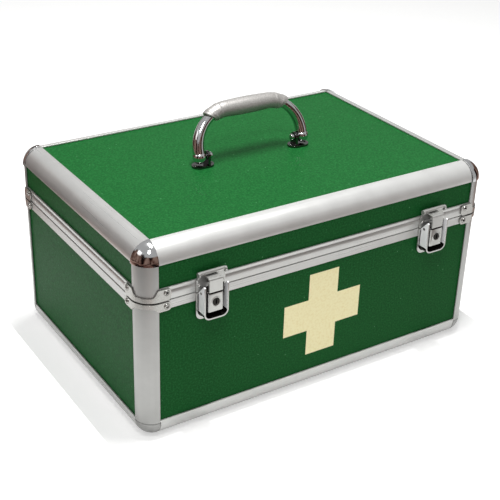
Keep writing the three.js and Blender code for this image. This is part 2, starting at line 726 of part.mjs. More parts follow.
// The claw: a cover plate with a hook at its top and two arms that hang on pins in the lever.
function latchClaw() {
  const r = LEVER_EDGE_RADIUS;
  const half = CLAW_WIDTH / 2;
  const bottom = LEVER_TOP + CLAW_GAP;
  const back = LEVER_FACE - LEVER_WALL;
  const plate = alongX(
    out([
      [back, bottom],
      [LEVER_FACE, bottom],
      ...arc(LEVER_FACE - r, CLAW_TOP - r, r, 0, 90, 4),
      [back - LEVER_WALL, CLAW_TOP],
      [back - LEVER_WALL, CLAW_TOP - CLAW_HOOK_THICKNESS],
      [back, CLAW_TOP - CLAW_HOOK_THICKNESS],
    ]).reverse(),
    -half,
    half,
  );
  const tip = LATCH_PLATE_FACE + CLAW_HOOK_GAP;
  const hook = box(
    -CLAW_HOOK_WIDTH / 2,
    CLAW_HOOK_WIDTH / 2,
    -back,
    -tip,
    CLAW_TOP - CLAW_HOOK_THICKNESS,
    CLAW_TOP,
  );
  const armOuter = CLAW_ARM_INNER + CLAW_ARM_WALL;
  const yokeBottom = PIVOT_HEIGHT + LEVER_EAR_RADIUS + CLAW_YOKE_GAP;
  const yokeTop = yokeBottom + CLAW_YOKE_HEIGHT;
  const yokeBack = PIVOT_OUT + PIVOT_RADIUS + 2 * CLEARANCE;
  const bar = box(-armOuter, armOuter, -CLAW_ARM_FRONT, -yokeBack, yokeBottom, yokeTop);
  const neck = box(-half, half, -back - LEVER_WALL / 2, -yokeBack, yokeBottom, yokeTop);
  const boss = CLAW_PIN_RADIUS + CLAW_BOSS_WALL;
  const arm = alongX(
    out([
      [CLAW_ARM_FRONT, yokeTop],
      [yokeBack, yokeTop],
      [yokeBack, PIVOT_HEIGHT - boss],
      ...arc(CLAW_PIN_OUT, CLAW_PIN_HEIGHT, boss, 120, 300),
      [CLAW_ARM_FRONT, CLAW_PIN_HEIGHT + boss + CLAW_BOSS_WALL],
    ]),
    CLAW_ARM_INNER,
    armOuter,
  );
  const pin = alongX(
    circle(-CLAW_PIN_OUT, CLAW_PIN_HEIGHT, CLAW_PIN_RADIUS, 12),
    LEVER_WIDTH / 2 - LEVER_WALL,
    CLAW_ARM_INNER + CLAW_ARM_WALL / 2,
  );
  return joined(plate, hook, neck, bar, mirroredPair(arm.add(pin)));
}

// The lock: a barrel with a keyway in its face and a cam at its back.
function lockCylinder() {
  const barrel = alongY(circle(0, LOCK_HEIGHT, LOCK_RADIUS, 20), -LOCK_FACE, -LOCK_BACK);
  const keyway = box(
    -KEYWAY_WIDTH / 2,
    KEYWAY_WIDTH / 2,
    -LOCK_FACE - 1,
    -LOCK_FACE + KEYWAY_DEPTH,
    LOCK_HEIGHT - KEYWAY_LENGTH / 2,
    LOCK_HEIGHT + KEYWAY_LENGTH / 2,
  );
  const camHalf = LOCK_CAM_WIDTH / 2;
  const camFace = -LOCK_BACK - LOCK_CAM_THICKNESS;
  const cam = box(0, LOCK_CAM_REACH, camFace, -LOCK_BACK, LOCK_HEIGHT - camHalf, LOCK_HEIGHT + camHalf);
  return barrel.subtract(keyway).add(cam);
}

// The striker on the lid: a riveted plate that ends in a rolled bead.
function latchStriker() {
  const half = LATCH_WIDTH / 2;
  const bottom = LID_FRAME_BOTTOM + CLEARANCE;
  const shoulder = LID_FRAME_TOP;
  const beadHalf = STRIKER_BEAD_WIDTH / 2;
  const radius = STRIKER_CORNER_RADIUS;
  const plate = alongY(
    [
      [-half, bottom],
      [half, bottom],
      ...arc(half - radius, shoulder - radius, radius, 0, 90, 3),
      [beadHalf, shoulder],
      [beadHalf, STRIKER_BEAD_HEIGHT],
      [-beadHalf, STRIKER_BEAD_HEIGHT],
      [-beadHalf, shoulder],
      ...arc(-half + radius, shoulder - radius, radius, 90, 180, 3),
    ],
    -LATCH_PLATE_FACE,
    -CLEARANCE,
  );
  const bead = alongX(
    circle(-STRIKER_BEAD_OUT, STRIKER_BEAD_HEIGHT, STRIKER_BEAD_RADIUS),
    -beadHalf,
    beadHalf,
  );
  const earOut = STRIKER_BEAD_OUT + STRIKER_EAR_SHIFT;
  const ear = alongX(
    circle(-earOut, STRIKER_BEAD_HEIGHT - STRIKER_EAR_SHIFT, STRIKER_EAR_RADIUS),
    beadHalf - STRIKER_EAR_WIDTH / 2,
    beadHalf + STRIKER_EAR_WIDTH / 2,
  );
  const rivetAt = new THREE.Vector3(half - STRIKER_RIVET_INSET, -LATCH_PLATE_FACE, (bottom + shoulder) / 2);
  const rivet = domeAt(rivetAt, new THREE.Vector3(0, -1, 0), LATCH_RIVET_RADIUS, RIVET_HEIGHT);
  return joined(plate, bead, mirroredPair(ear.add(rivet)));
}

// Handle, built upright about its pivot axis along x through the origin

// Points on the left arc of the bow's middle line, by the angle that the line has turned through there.
function bowLine(fromAngle, toAngle, arcSteps) {
  const straight = HANDLE_SPAN / 2 - HANDLE_ARC_RADIUS;
  const radius = HANDLE_ARC_RADIUS;
  const points = [];
  for (let i = 0; i <= arcSteps; i += 1) {
    const angle = fromAngle + ((toAngle - fromAngle) * i) / arcSteps;
    const turn = THREE.MathUtils.degToRad(angle);
    points.push({
      at: new THREE.Vector3(-straight - radius * Math.cos(turn), 0, HANDLE_LEG + radius * Math.sin(turn)),
      along: new THREE.Vector3(Math.sin(turn), 0, Math.cos(turn)),
      angle,
    });
  }
  return points;
}

// Points of a circle about a point, square to a direction in the bow's plane or slanted along it.
function ringAbout(point, along, radius, sides, slant = 0) {
  const side = new THREE.Vector3(0, 1, 0);
  const normal = new THREE.Vector3().crossVectors(side, along);
  const ring = [];
  for (let i = 0; i < sides; i += 1) {
    const turn = (2 * Math.PI * i) / sides;
    const outward = radius * Math.sin(turn);
    ring.push(
      point
        .clone()
        .addScaledVector(side, radius * Math.cos(turn))
        .addScaledVector(normal, -outward)
        .addScaledVector(along, slant * outward),
    );
  }
  return ring;
}

// Stations of one half, followed by their mirror images across x = 0.
function mirroredStations(half) {
  const other = half.map(({ at, along, slant = 0, ...rest }) => ({
    at: new THREE.Vector3(-at.x, at.y, at.z),
    along: new THREE.Vector3(along.x, along.y, -along.z),
    slant: -slant,
    ...rest,
  }));
  return [...half, ...other.reverse()];
}

// The bow, with a ball, a pivot pin and a pin knob at each end.
function handleBow() {
  const foot = { at: new THREE.Vector3(-HANDLE_SPAN / 2, 0, 0), along: new THREE.Vector3(0, 0, 1), angle: 0 };
  const half = [foot, ...bowLine(0, 90, 10)];
  const radiusAt = (angle) => {
    const share = THREE.MathUtils.clamp(angle / (90 - GRIP_ARC - 4), 0, 1);
    return BOW_FOOT_RADIUS + (BOW_TOP_RADIUS - BOW_FOOT_RADIUS) * share;
  };
  const rings = mirroredStations(half).map((s) => ringAbout(s.at, s.along, radiusAt(s.angle), 12));
  const bow = loft(rings, false);
  const x = HANDLE_SPAN / 2;
  const ball = solidOf(new THREE.SphereGeometry(BOW_BALL_RADIUS, 16, 12)).translate([x, 0, 0]);
  const earInner = footEarInner();
  const knobFace = earInner - FOOT_EAR_GAP;
  const pin = alongX(circle(0, 0, HANDLE_PIN_RADIUS, 14), knobFace - HANDLE_KNOB_LENGTH / 2, x);
  const knob = alongX(circle(0, 0, HANDLE_KNOB_RADIUS, 14), knobFace - HANDLE_KNOB_LENGTH, knobFace);
  return bow.add(mirroredPair(joined(ball, pin, knob)));
}

// The inner face of a foot's ear, counted from the middle of the handle.
function footEarInner() {
  return HANDLE_SPAN / 2 - BOW_BALL_RADIUS - FOOT_EAR_GAP - FOOT_EAR_THICKNESS;
}

// The grip sleeve: thickest in the middle, with slanted ends and two ribs near each end.
function handleGrip() {
  const straight = HANDLE_SPAN / 2 - HANDLE_ARC_RADIUS;
  const arcRun = (angle) => THREE.MathUtils.degToRad(angle) * HANDLE_ARC_RADIUS;
  const half = bowLine(90 - GRIP_ARC, 90, 7).map((s, i) => ({
    ...s,
    run: arcRun(90 - s.angle) + straight,
    slant: -GRIP_END_SLANT * Math.max(0, 1 - i / 4),
  }));
  for (const share of [0.75, 0.5, 0.25]) {
    half.push({
      at: new THREE.Vector3(-straight * share, 0, HANDLE_LEG + HANDLE_ARC_RADIUS),
      along: new THREE.Vector3(1, 0, 0),
      run: straight * share,
    });
  }
  const reach = arcRun(GRIP_ARC) + straight;
  const swell = ({ run }, index) => {
    const share = 0.5 * (1 + Math.cos((Math.PI * run) / reach));
    const body = GRIP_END_RADIUS + (GRIP_MIDDLE_RADIUS - GRIP_END_RADIUS) * share;
    return body + (index === 1 || index === 3 ? GRIP_RIB : 0);
  };
  const count = half.length;
  const stations = mirroredStations(half);
  const indexFromEnd = (i) => Math.min(i, 2 * count - 1 - i);
  const outer = stations.map((s, i) => ringAbout(s.at, s.along, swell(s, indexFromEnd(i)), 16, s.slant));
  const bore = BOW_TOP_RADIUS + CLEARANCE;
  const inner = stations.map((s) => ringAbout(s.at, s.along, bore, 16, s.slant));
  return loft([...outer, ...inner.reverse()], true);
}

// One foot at its place on the lid, for the side given by its sign.
function handleFoot(sign) {
  const surface = HEIGHT - PANEL_DEPTH + CLEARANCE;
  const top = surface + FOOT_THICKNESS;
  const pivot = HEIGHT - PANEL_DEPTH + HANDLE_PIVOT_RISE;
  const inner = footEarInner();
  const middle = inner + FOOT_LENGTH / 2 - FOOT_EAR_SETBACK;
  const half = FOOT_LENGTH / 2 - FOOT_WIDTH / 2;
  const plate = alongZ(
    [
      ...arc(middle - half, 0, FOOT_WIDTH / 2, 90, 270, 10),
      ...arc(middle + half, 0, FOOT_WIDTH / 2, 270, 450, 10),
    ],
    surface,
    top,
  );
  const ear = alongX(
    [
      [-FOOT_EAR_RADIUS, top - CLEARANCE],
      [FOOT_EAR_RADIUS, top - CLEARANCE],
      ...arc(0, pivot, FOOT_EAR_RADIUS, 0, 180, 10),
    ],
    inner,
    inner + FOOT_EAR_THICKNESS,
  );
  const hole = circle(0, pivot, HANDLE_PIN_RADIUS + CLEARANCE);
  const bore = alongX(hole, inner - 1, inner + FOOT_EAR_THICKNESS + 1);
  const screwReach = FOOT_LENGTH / 2 - SCREW_INSET;
  const screws = [middle - screwReach, middle + screwReach].map((x) =>
    domeAt(new THREE.Vector3(x, 0, top), Z, SCREW_RADIUS, SCREW_HEIGHT),
  );
  const foot = joined(plate, ear.subtract(bore), ...screws);
  return moved(foot, new THREE.Matrix4().makeScale(sign, 1, 1));
}

// Rear hinge

const HINGE_Y = HALF_DEPTH + HINGE_PIN_OUT;
const LEAF_NEAR = HALF_DEPTH + CLEARANCE;
const LEAF_FAR = LEAF_NEAR + HINGE_LEAF_THICKNESS;
const KNUCKLE_PITCH = HINGE_LENGTH / HINGE_KNUCKLES;

// The knuckles of one leaf: the even ones belong to the case and the odd ones to the lid.
function knuckles(first, neckTo, bored) {
  const parts = [];
  for (let i = first; i < HINGE_KNUCKLES; i += 2) {
    const from = -HINGE_LENGTH / 2 + i * KNUCKLE_PITCH + CLEARANCE / 2;
    const to = from + KNUCKLE_PITCH - CLEARANCE;
    const barrel = alongX(circle(HINGE_Y, PARTING_HEIGHT, HINGE_BARREL_RADIUS), from, to);
    const [low, high] = [neckTo, PARTING_HEIGHT].sort((a, b) => a - b);
    const neck = box(from, to, LEAF_NEAR, LEAF_FAR, low, high);
    let knuckle = barrel.add(neck);
    if (STOP_EAR_KNUCKLES.includes(i)) knuckle = knuckle.add(stopEar((from + to) / 2));
    if (bored) {
      const bore = circle(HINGE_Y, PARTING_HEIGHT, HINGE_PIN_RADIUS + CLEARANCE, 12);
      knuckle = knuckle.subtract(alongX(bore, from - 1, to + 1));
    }
    parts.push(knuckle);
  }
  return joined(...parts);
}

// A radial ear that meets the case leaf when the lid stands fully open.
function stopEar(x) {
  const tilt = THREE.MathUtils.degToRad(STOP_EAR_TILT);
  const half = STOP_EAR_THICKNESS / 2;
  const length = (HINGE_REACH - HINGE_PIN_OUT - half * Math.sin(tilt)) / Math.cos(tilt);
  const ear = box(-KNUCKLE_PITCH / 4, KNUCKLE_PITCH / 4, HINGE_PIN_RADIUS, length, -half, half);
  const place = new THREE.Matrix4().makeTranslation(x, HINGE_Y, PARTING_HEIGHT);
  return moved(ear, place.multiply(new THREE.Matrix4().makeRotationX(tilt)));
}

function leafRivets(z) {
  return [-0.42, -0.14, 0.14, 0.42].map((share) =>
    domeAt(new THREE.Vector3(share * HINGE_LENGTH, LEAF_FAR, z), Y, LATCH_RIVET_RADIUS, RIVET_HEIGHT / 2),
  );
}

function hingeCaseLeaf() {
  const top = PARTING_HEIGHT - HINGE_BARREL_RADIUS - CLEARANCE;
  const bottom = PARTING_HEIGHT - HINGE_LEAF_HEIGHT;
  const leaf = box(-HINGE_LENGTH / 2, HINGE_LENGTH / 2, LEAF_NEAR, LEAF_FAR, bottom, top);
  const pin = alongX(
    circle(HINGE_Y, PARTING_HEIGHT, HINGE_PIN_RADIUS, 12),
    -HINGE_LENGTH / 2 + CLEARANCE / 2,
    HINGE_LENGTH / 2 - CLEARANCE / 2,
  );
  return joined(leaf, knuckles(0, top - CLEARANCE, false), pin, ...leafRivets((top + bottom) / 2));
}

function hingeLidLeaf() {
  const bottom = PARTING_HEIGHT + HINGE_BARREL_RADIUS + CLEARANCE;
  const top = PARTING_HEIGHT + HINGE_LEAF_HEIGHT;
  const leaf = box(-HINGE_LENGTH / 2, HINGE_LENGTH / 2, LEAF_NEAR, LEAF_FAR, bottom, top);
  return joined(leaf, knuckles(1, bottom + CLEARANCE, true), ...leafRivets((top + bottom) / 2));
}

// The assembly

const firstAidCase = new THREE.Group();
const lowerCase = new THREE.Group();
const lid = new THREE.Group();
firstAidCase.add(lowerCase, lid);

for (const side of SIDES) {
  const panelTop = CASE_CHANNEL_TOP - CLEARANCE;
  const highTongue = panelTop - CASE_FRAME_BOTTOM + CLEARANCE;
  const panel = uprightPanel(side, PANEL_EDGE, panelTop, CORNER_NOTCH, highTongue);
  lowerCase.add(meshOf(`case_${side.name}_panel`, panel, laminate));
  const bottomRail = levelRail(side, 0, false, BOTTOM_RAIL_FOOT, BOTTOM_RAIL_SIDE_LEG);
  lowerCase.add(meshOf(`bottom_rail_${side.name}`, bottomRail, aluminium));
  const lidPanelBottom = LID_CHANNEL_BOTTOM + CLEARANCE;
  const lidPanelTop = HEIGHT - PANEL_EDGE;
  const lowTongue = LID_FRAME_TOP + CLEARANCE - lidPanelBottom;
  const lidPanel = uprightPanel(side, lidPanelBottom, lidPanelTop, lowTongue, CORNER_NOTCH);
  lid.add(meshOf(`lid_${side.name}_panel`, lidPanel, laminate));
  const topRail = levelRail(side, HEIGHT, true, TOP_RAIL_TOP_LEG, EDGE_RADIUS);
  lid.add(meshOf(`top_rail_${side.name}`, topRail, aluminium));
}
lowerCase.add(meshOf("case_bottom_panel", levelPanel(PANEL_DEPTH), laminate));
lid.add(meshOf("lid_top_panel", levelPanel(HEIGHT - PANEL_DEPTH - PANEL_THICKNESS), laminate));

for (const corner of CORNERS) {
  const { name } = corner;
  const casePost = post(corner, CORNER_END, CASE_CHANNEL_TOP - CLEARANCE);
  const lidPost = post(corner, LID_CHANNEL_BOTTOM + CLEARANCE, HEIGHT - CORNER_END);
  lowerCase.add(meshOf(`case_post_${name}`, casePost, aluminium));
  lowerCase.add(meshOf(`bottom_corner_${name}`, ballCorner(corner, false, 0), aluminium));
  lowerCase.add(meshOf(`case_clamp_${name}`, clamp(corner, -1), chrome));
  lid.add(meshOf(`lid_post_${name}`, lidPost, aluminium));
  lid.add(meshOf(`ball_corner_${name}`, ballCorner(corner, true, BALL_PROUD), chrome));
  lid.add(meshOf(`lid_clamp_${name}`, clamp(corner, 1), chrome));
}

lowerCase.add(meshOf("case_closing_frame", caseFrame(), aluminium));
lid.add(meshOf("lid_closing_frame", lidFrame(), aluminium));
lowerCase.add(meshOf("hinge_case_leaf", hingeCaseLeaf(), chrome));
lid.add(meshOf("hinge_lid_leaf", hingeLidLeaf(), chrome));

for (const [name, sign] of [
  ["left", -1],
  ["right", 1],
]) {
  const latch = new THREE.Group();
  latch.position.set(sign * (HALF_WIDTH - LATCH_INSET), -HALF_DEPTH, 0);
  latch.add(meshOf(`latch_base_${name}`, latchBase(), chrome));
  latch.add(meshOf(`latch_lever_${name}`, latchLever(), chrome));
  latch.add(meshOf(`latch_claw_${name}`, latchClaw(), chrome));
  latch.add(meshOf(`lock_cylinder_${name}`, lockCylinder(), chrome));
  latch.add(meshOf(`latch_striker_${name}`, latchStriker(), chrome));
  firstAidCase.add(latch);
  lid.add(meshOf(`handle_foot_${name}`, handleFoot(sign), chrome));
}

const handle = new THREE.Group();
handle.position.set(0, 0, HEIGHT - PANEL_DEPTH + HANDLE_PIVOT_RISE);
handle.rotation.x = -THREE.MathUtils.degToRad(HANDLE_LEAN);
handle.add(meshOf("handle_bow", handleBow(), chrome));
handle.add(meshOf("handle_grip", handleGrip(), gripPlastic));
lid.add(handle);

export default firstAidCase;
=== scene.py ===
"""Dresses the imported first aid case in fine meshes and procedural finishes, and lights it in a studio."""

import json
import logging
import math
from collections.abc import Callable, Sequence
from dataclasses import dataclass, field
from enum import Enum

import bmesh
import bpy
from mathutils import Matrix, Vector

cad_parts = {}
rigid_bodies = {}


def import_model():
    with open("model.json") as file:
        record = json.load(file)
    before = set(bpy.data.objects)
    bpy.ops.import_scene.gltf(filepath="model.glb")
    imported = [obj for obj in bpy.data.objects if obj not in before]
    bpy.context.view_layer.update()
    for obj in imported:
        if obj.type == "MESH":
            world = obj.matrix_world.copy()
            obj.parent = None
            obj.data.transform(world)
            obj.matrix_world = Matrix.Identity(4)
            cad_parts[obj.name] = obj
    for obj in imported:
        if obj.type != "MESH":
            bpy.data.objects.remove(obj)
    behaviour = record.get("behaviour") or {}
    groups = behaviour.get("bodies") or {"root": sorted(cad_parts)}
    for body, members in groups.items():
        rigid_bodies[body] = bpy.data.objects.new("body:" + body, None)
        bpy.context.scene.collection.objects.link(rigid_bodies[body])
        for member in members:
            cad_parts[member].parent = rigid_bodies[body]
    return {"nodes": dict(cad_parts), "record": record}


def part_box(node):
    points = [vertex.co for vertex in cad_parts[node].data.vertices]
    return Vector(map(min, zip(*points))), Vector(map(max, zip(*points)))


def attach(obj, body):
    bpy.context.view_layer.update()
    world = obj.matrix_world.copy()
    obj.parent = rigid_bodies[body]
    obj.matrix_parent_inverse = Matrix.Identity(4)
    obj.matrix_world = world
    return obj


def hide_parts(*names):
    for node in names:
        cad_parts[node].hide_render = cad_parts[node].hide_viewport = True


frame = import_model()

Section = list[tuple[float, float]]
Piece = bpy.types.Object
Face = bpy.types.MeshPolygon
Tree = bpy.types.NodeTree
Node = bpy.types.Node
Socket = bpy.types.NodeSocket

LOG = logging.getLogger("first_aid_case")
MM = 0.001
UP = Vector((0, 0, 1))

# Axes of prisms: an outline in x and y drawn out along z, and one in x and z drawn out along y
FROM_ABOVE = Matrix.Identity(4)
FROM_FRONT = Matrix(((1, 0, 0, 0), (0, 0, 1, 0), (0, 1, 0, 0), (0, 0, 0, 1)))

# Limits for meshes: edges that stay sharp, points that are one, faces that are flat, and a turned tip
SMOOTH_LIMIT = math.radians(35)
WELD_LIMIT = 0.002 * MM
FLAT_LIMIT = math.radians(0.5)
TIP_RADIUS = 0.001 * MM


# Small tools for meshes


def arc(a: float, b: float, radius: float, start: float, end: float, steps: int) -> Section:
    """Gives the points of an arc in a plane.

    Args:
        a: First coordinate of the centre.
        b: Second coordinate of the centre.
        radius: Radius of the arc.
        start: Angle of the first point in degrees.
        end: Angle of the last point in degrees.
        steps: Number of chords.

    Returns:
        The points in order, both ends included.
    """
    turns = [math.radians(start + (end - start) * i / steps) for i in range(steps + 1)]
    return [(a + radius * math.cos(t), b + radius * math.sin(t)) for t in turns]


def circle(radius: float, sides: int) -> Section:
    """Gives the corners of a many-sided circle round the origin."""
    return arc(0, 0, radius, 0, 360 - 360 / sides, sides - 1)


def facing(origin: Vector, out: Vector, up: Vector) -> Matrix:
    """Gives the matrix of a local frame whose third axis points out of a surface.

    Args:
        origin: Where the frame sits.
        out: Direction of the third axis.
        up: Direction of the second axis.

    Returns:
        The matrix from the local frame to the row frame.
    """
    turn = Matrix((up.cross(out), up, out)).transposed()
    return Matrix.Translation(origin) @ turn.to_4x4()


@dataclass
class Draft:
    """One mesh while it is put together, in metres in the row frame.

    Args:
        points: The corners so far.
        faces: Each face as indices into the corners.
    """

    points: list[Vector] = field(default_factory=list)
    faces: list[tuple[int, ...]] = field(default_factory=list)

    def skin(self, rings: Sequence[Sequence[Vector]], closed: bool = False) -> "Draft":
        """Adds a skin through rings of equally many points.

        Args:
            rings: The rings, in order.
            closed: Whether the last ring joins the first; otherwise each end gets a cap.

        Returns:
            This draft, so that calls can follow each other.
        """
        first = len(self.points)
        size = len(rings[0])
        for ring in rings:
            self.points.extend(Vector(p) for p in ring)
        for i in range(len(rings) if closed else len(rings) - 1):
            here = first + i * size
            there = first + (i + 1) % len(rings) * size
            for j in range(size):
                k = (j + 1) % size
                self.faces.append((here + j, here + k, there + k, there + j))
        if not closed:
            last = first + (len(rings) - 1) * size
            self.faces.append(tuple(range(first + size - 1, first - 1, -1)))
            self.faces.append(tuple(range(last, last + size)))
        return self

    def prism(self, outline: Section, start: float, end: float, axes: Matrix) -> "Draft":
        """Adds an outline drawn out along the third of three axes.

        Args:
            outline: The outline in the first two axes.
            start: Where it starts along the third axis.
            end: Where it ends.
            axes: Matrix from the outline's axes to the row frame.

        Returns:
            This draft.
        """
        return self.skin([[axes @ Vector((a, b, c)) for a, b in outline] for c in (start, end)])

    def turned(self, profile: Section, axes: Matrix, sides: int) -> "Draft":
        """Adds a profile turned about the third axis; its ends lie on that axis.

        Args:
            profile: Points as (radius, height), from one end of the axis to the other.
            axes: Matrix from the turning axes to the row frame.
            sides: Number of sides round the axis.

        Returns:
            This draft.
        """
        rings = []
        for radius, height in profile:
            ring = circle(max(radius, TIP_RADIUS), sides)
            rings.append([axes @ Vector((x, y, height)) for x, y in ring])
        return self.skin(rings)

    def make(self, name: str, bevel: float = 0.25 * MM) -> Piece:
        """Turns the draft into a smooth-shaded object whose sharp edges are rounded.

        Args:
            name: Name of the object.
            bevel: Width of the rounding, or 0 for none.

        Returns:
            The new object.
        """
        mesh = bpy.data.meshes.new(name)
        mesh.from_pydata([tuple(p) for p in self.points], [], self.faces)
        return smooth_object(name, mesh, bevel)


def smooth_object(name: str, mesh: bpy.types.Mesh, bevel: float) -> Piece:
    """Cleans a mesh and makes an object of it, smooth-shaded with rounded edges.

    Args:
        name: Name of the object.
        mesh: The mesh, which is changed.
        bevel: Width of the rounding, or 0 for none.

    Returns:
        The new object.
    """
    work = bmesh.new()
    work.from_mesh(mesh)
    bmesh.ops.remove_doubles(work, verts=work.verts, dist=WELD_LIMIT)
    bmesh.ops.dissolve_limit(work, angle_limit=FLAT_LIMIT, verts=work.verts, edges=work.edges)
    bmesh.ops.recalc_face_normals(work, faces=work.faces)
    for face in work.faces:
        face.smooth = True
    work.to_mesh(mesh)
    work.free()
    mesh.set_sharp_from_angle(angle=SMOOTH_LIMIT)
    piece = bpy.data.objects.new(name, mesh)
    bpy.context.scene.collection.objects.link(piece)
    if bevel > 0:
        rounding = piece.modifiers.new("edge_rounding", "BEVEL")
        rounding.width = bevel
        rounding.segments = 2
        rounding.limit_method = "ANGLE"
        rounding.angle_limit = SMOOTH_LIMIT
        rounding.harden_normals = True
    return piece


def refined(node: str, name: str, bevel: float) -> Piece:
    """Makes a smooth, edge-rounded object in the shape of a CAD node.

    Args:
        node: Name of the CAD node.
        name: Name of the new object.
        bevel: Width of the rounding.

    Returns:
        The new object.
    """
    mesh = frame["nodes"][node].data.copy()
    mesh.materials.clear()
    if mesh.has_custom_normals:
        mesh.normals_split_custom_set_from_vertices([(0, 0, 0)] * len(mesh.vertices))
    return smooth_object(name, mesh, bevel)


# Finishes


class Axis(Enum):
    """A row axis that a piece or its grain runs along."""

    X = 0
    Y = 1
    Z = 2


def linear(code: str) -> tuple[float, float, float, float]:
    """Turns an sRGB hex colour into Blender's linear colour.

    Args:
        code: The colour, such as "#1f6a38".

    Returns:
        Red, green, blue and alpha.
    """
    parts = [int(code[i : i + 2], 16) / 255 for i in (1, 3, 5)]
    light = [c / 12.92 if c <= 0.04045 else ((c + 0.055) / 1.055) ** 2.4 for c in parts]
    return (light[0], light[1], light[2], 1.0)


def add_node(
    tree: Tree,
    kind: str,
    settings: dict[str | int, object] | None = None,
    links: dict[str | int, Socket] | None = None,
    stops: dict[float, str] | None = None,
) -> Node:
    """Adds a node with its settings, links and colours.

    Args:
        tree: The node tree.
        kind: The node's type.
        settings: Values by the name or number of an input, or by the name of a property.
        links: Sockets that feed inputs, by the input's name or number.
        stops: Hex colours of its colour ramp, by their place from 0 to 1.

    Returns:
        The new node.
    """
    node = tree.nodes.new(kind)
    for key, value in (settings or {}).items():
        if isinstance(key, int) or key in node.inputs:
            node.inputs[key].default_value = value
        else:
            setattr(node, key, value)
    for key, socket in (links or {}).items():
        tree.links.new(socket, node.inputs[key])
    if stops:
        elements = node.color_ramp.elements
        while len(elements) < len(stops):
            elements.new(1.0)
        for element, (place, code) in zip(elements, sorted(stops.items())):
            element.position = place
            element.color = linear(code)
    return node


def seen_directly(tree: Tree, camera: float, gloss: float) -> Socket:
    """Gives one strength for camera rays, one for gloss and transmission rays, and 0 for the rest.

    Args:
        tree: The node tree.
        camera: The strength for the camera.
        gloss: The strength for gloss and transmission.

    Returns:
        The socket that gives it.
    """
    path = add_node(tree, "ShaderNodeLightPath")
    settings = {"operation": "MULTIPLY", 1: camera}
    direct = add_node(tree, "ShaderNodeMath", settings, {0: path.outputs["Is Camera Ray"]})
    rays = {0: path.outputs["Is Glossy Ray"], 1: path.outputs["Is Transmission Ray"]}
    mirrored = add_node(tree, "ShaderNodeMath", {"operation": "MAXIMUM"}, rays)
    settings = {"operation": "MULTIPLY_ADD", 1: gloss}
    shares = {0: mirrored.outputs["Value"], 2: direct.outputs["Value"]}
    return add_node(tree, "ShaderNodeMath", settings, shares).outputs["Value"]


@dataclass(frozen=True)
class Surface:
    """A material while a finish is laid on it.

    Args:
        tree: Its node tree.
        shader: Its principled shader.
    """

    tree: Tree
    shader: Node

    def fix(self, values: dict[str, object]) -> None:
        """Sets inputs of the shader to fixed values."""
        for name, value in values.items():
            self.shader.inputs[name].default_value = value

    def feed(self, name: str, source: Socket) -> None:
        """Feeds an input of the shader from a socket."""
        self.tree.links.new(source, self.shader.inputs[name])

    def place(self) -> Socket:
        """Gives the place on the piece, which moves with it."""
        return add_node(self.tree, "ShaderNodeTexCoord").outputs["Object"]

    def pattern(self, grain: float, detail: float, stretch: Sequence[float] = (1, 1, 1)) -> Socket:
        """Adds a cloudy pattern that is fixed to the piece.

        Args:
            grain: Size of one grain in metres.
            detail: Octaves of finer clouds.
            stretch: How many times longer a grain is along each axis.

        Returns:
            The socket that gives it.
        """
        place = self.place()
        settings = {"Scale": [1 / s for s in stretch]}
        place = add_node(self.tree, "ShaderNodeMapping", settings, {"Vector": place}).outputs["Vector"]
        settings = {"Scale": 1 / grain, "Detail": detail}
        return add_node(self.tree, "ShaderNodeTexNoise", settings, {"Vector": place}).outputs["Fac"]

    def colour(self, source: Socket, stops: dict[float, str]) -> None:
        """Colours the surface by a value.

        Args:
            source: The value.
            stops: Hex colours by the value from 0 to 1 at which they stand.
        """
        node = add_node(self.tree, "ShaderNodeValToRGB", links={"Fac": source}, stops=stops)
        self.feed("Base Color", node.outputs["Color"])

    def roughness(self, source: Socket, low: float, high: float) -> None:
        """Varies the roughness by a pattern, which mostly lies between 0.3 and 0.7.

        Args:
            source: The pattern.
            low: Roughness at 0.3.
            high: Roughness at 0.7.
        """
        settings = {"From Min": 0.3, "From Max": 0.7, "To Min": low, "To Max": high}
        node = add_node(self.tree, "ShaderNodeMapRange", settings, {"Value": source})
        self.feed("Roughness", node.outputs["Result"])

    def relief(self, height: Socket, depth: float, share: float) -> None:
        """Gives the surface a relief.

        Args:
            height: The height from 0 to 1.
            depth: Depth in metres at height 1.
            share: Strength from 0 to 1.
        """
        settings = {"Strength": share, "Distance": depth}
        node = add_node(self.tree, "ShaderNodeBump", settings, {"Height": height})
        self.feed("Normal", node.outputs["Normal"])


@dataclass(frozen=True)
class Finish:
    """A surface finish; each kind lays its own nodes.

    Args:
        name: Name of the Blender material.
    """

    name: str

    def material(self) -> bpy.types.Material:
        """Gives the Blender material, made on first use.

        Returns:
            The material.
        """
        found = bpy.data.materials.get(self.name)
        if found:
            return found
        made = bpy.data.materials.new(self.name)
        made.use_nodes = True
        self.lay(Surface(made.node_tree, made.node_tree.nodes["Principled BSDF"]))
        return made

    def lay(self, surface: Surface) -> None:
        """Lays this finish on a surface."""
        raise NotImplementedError


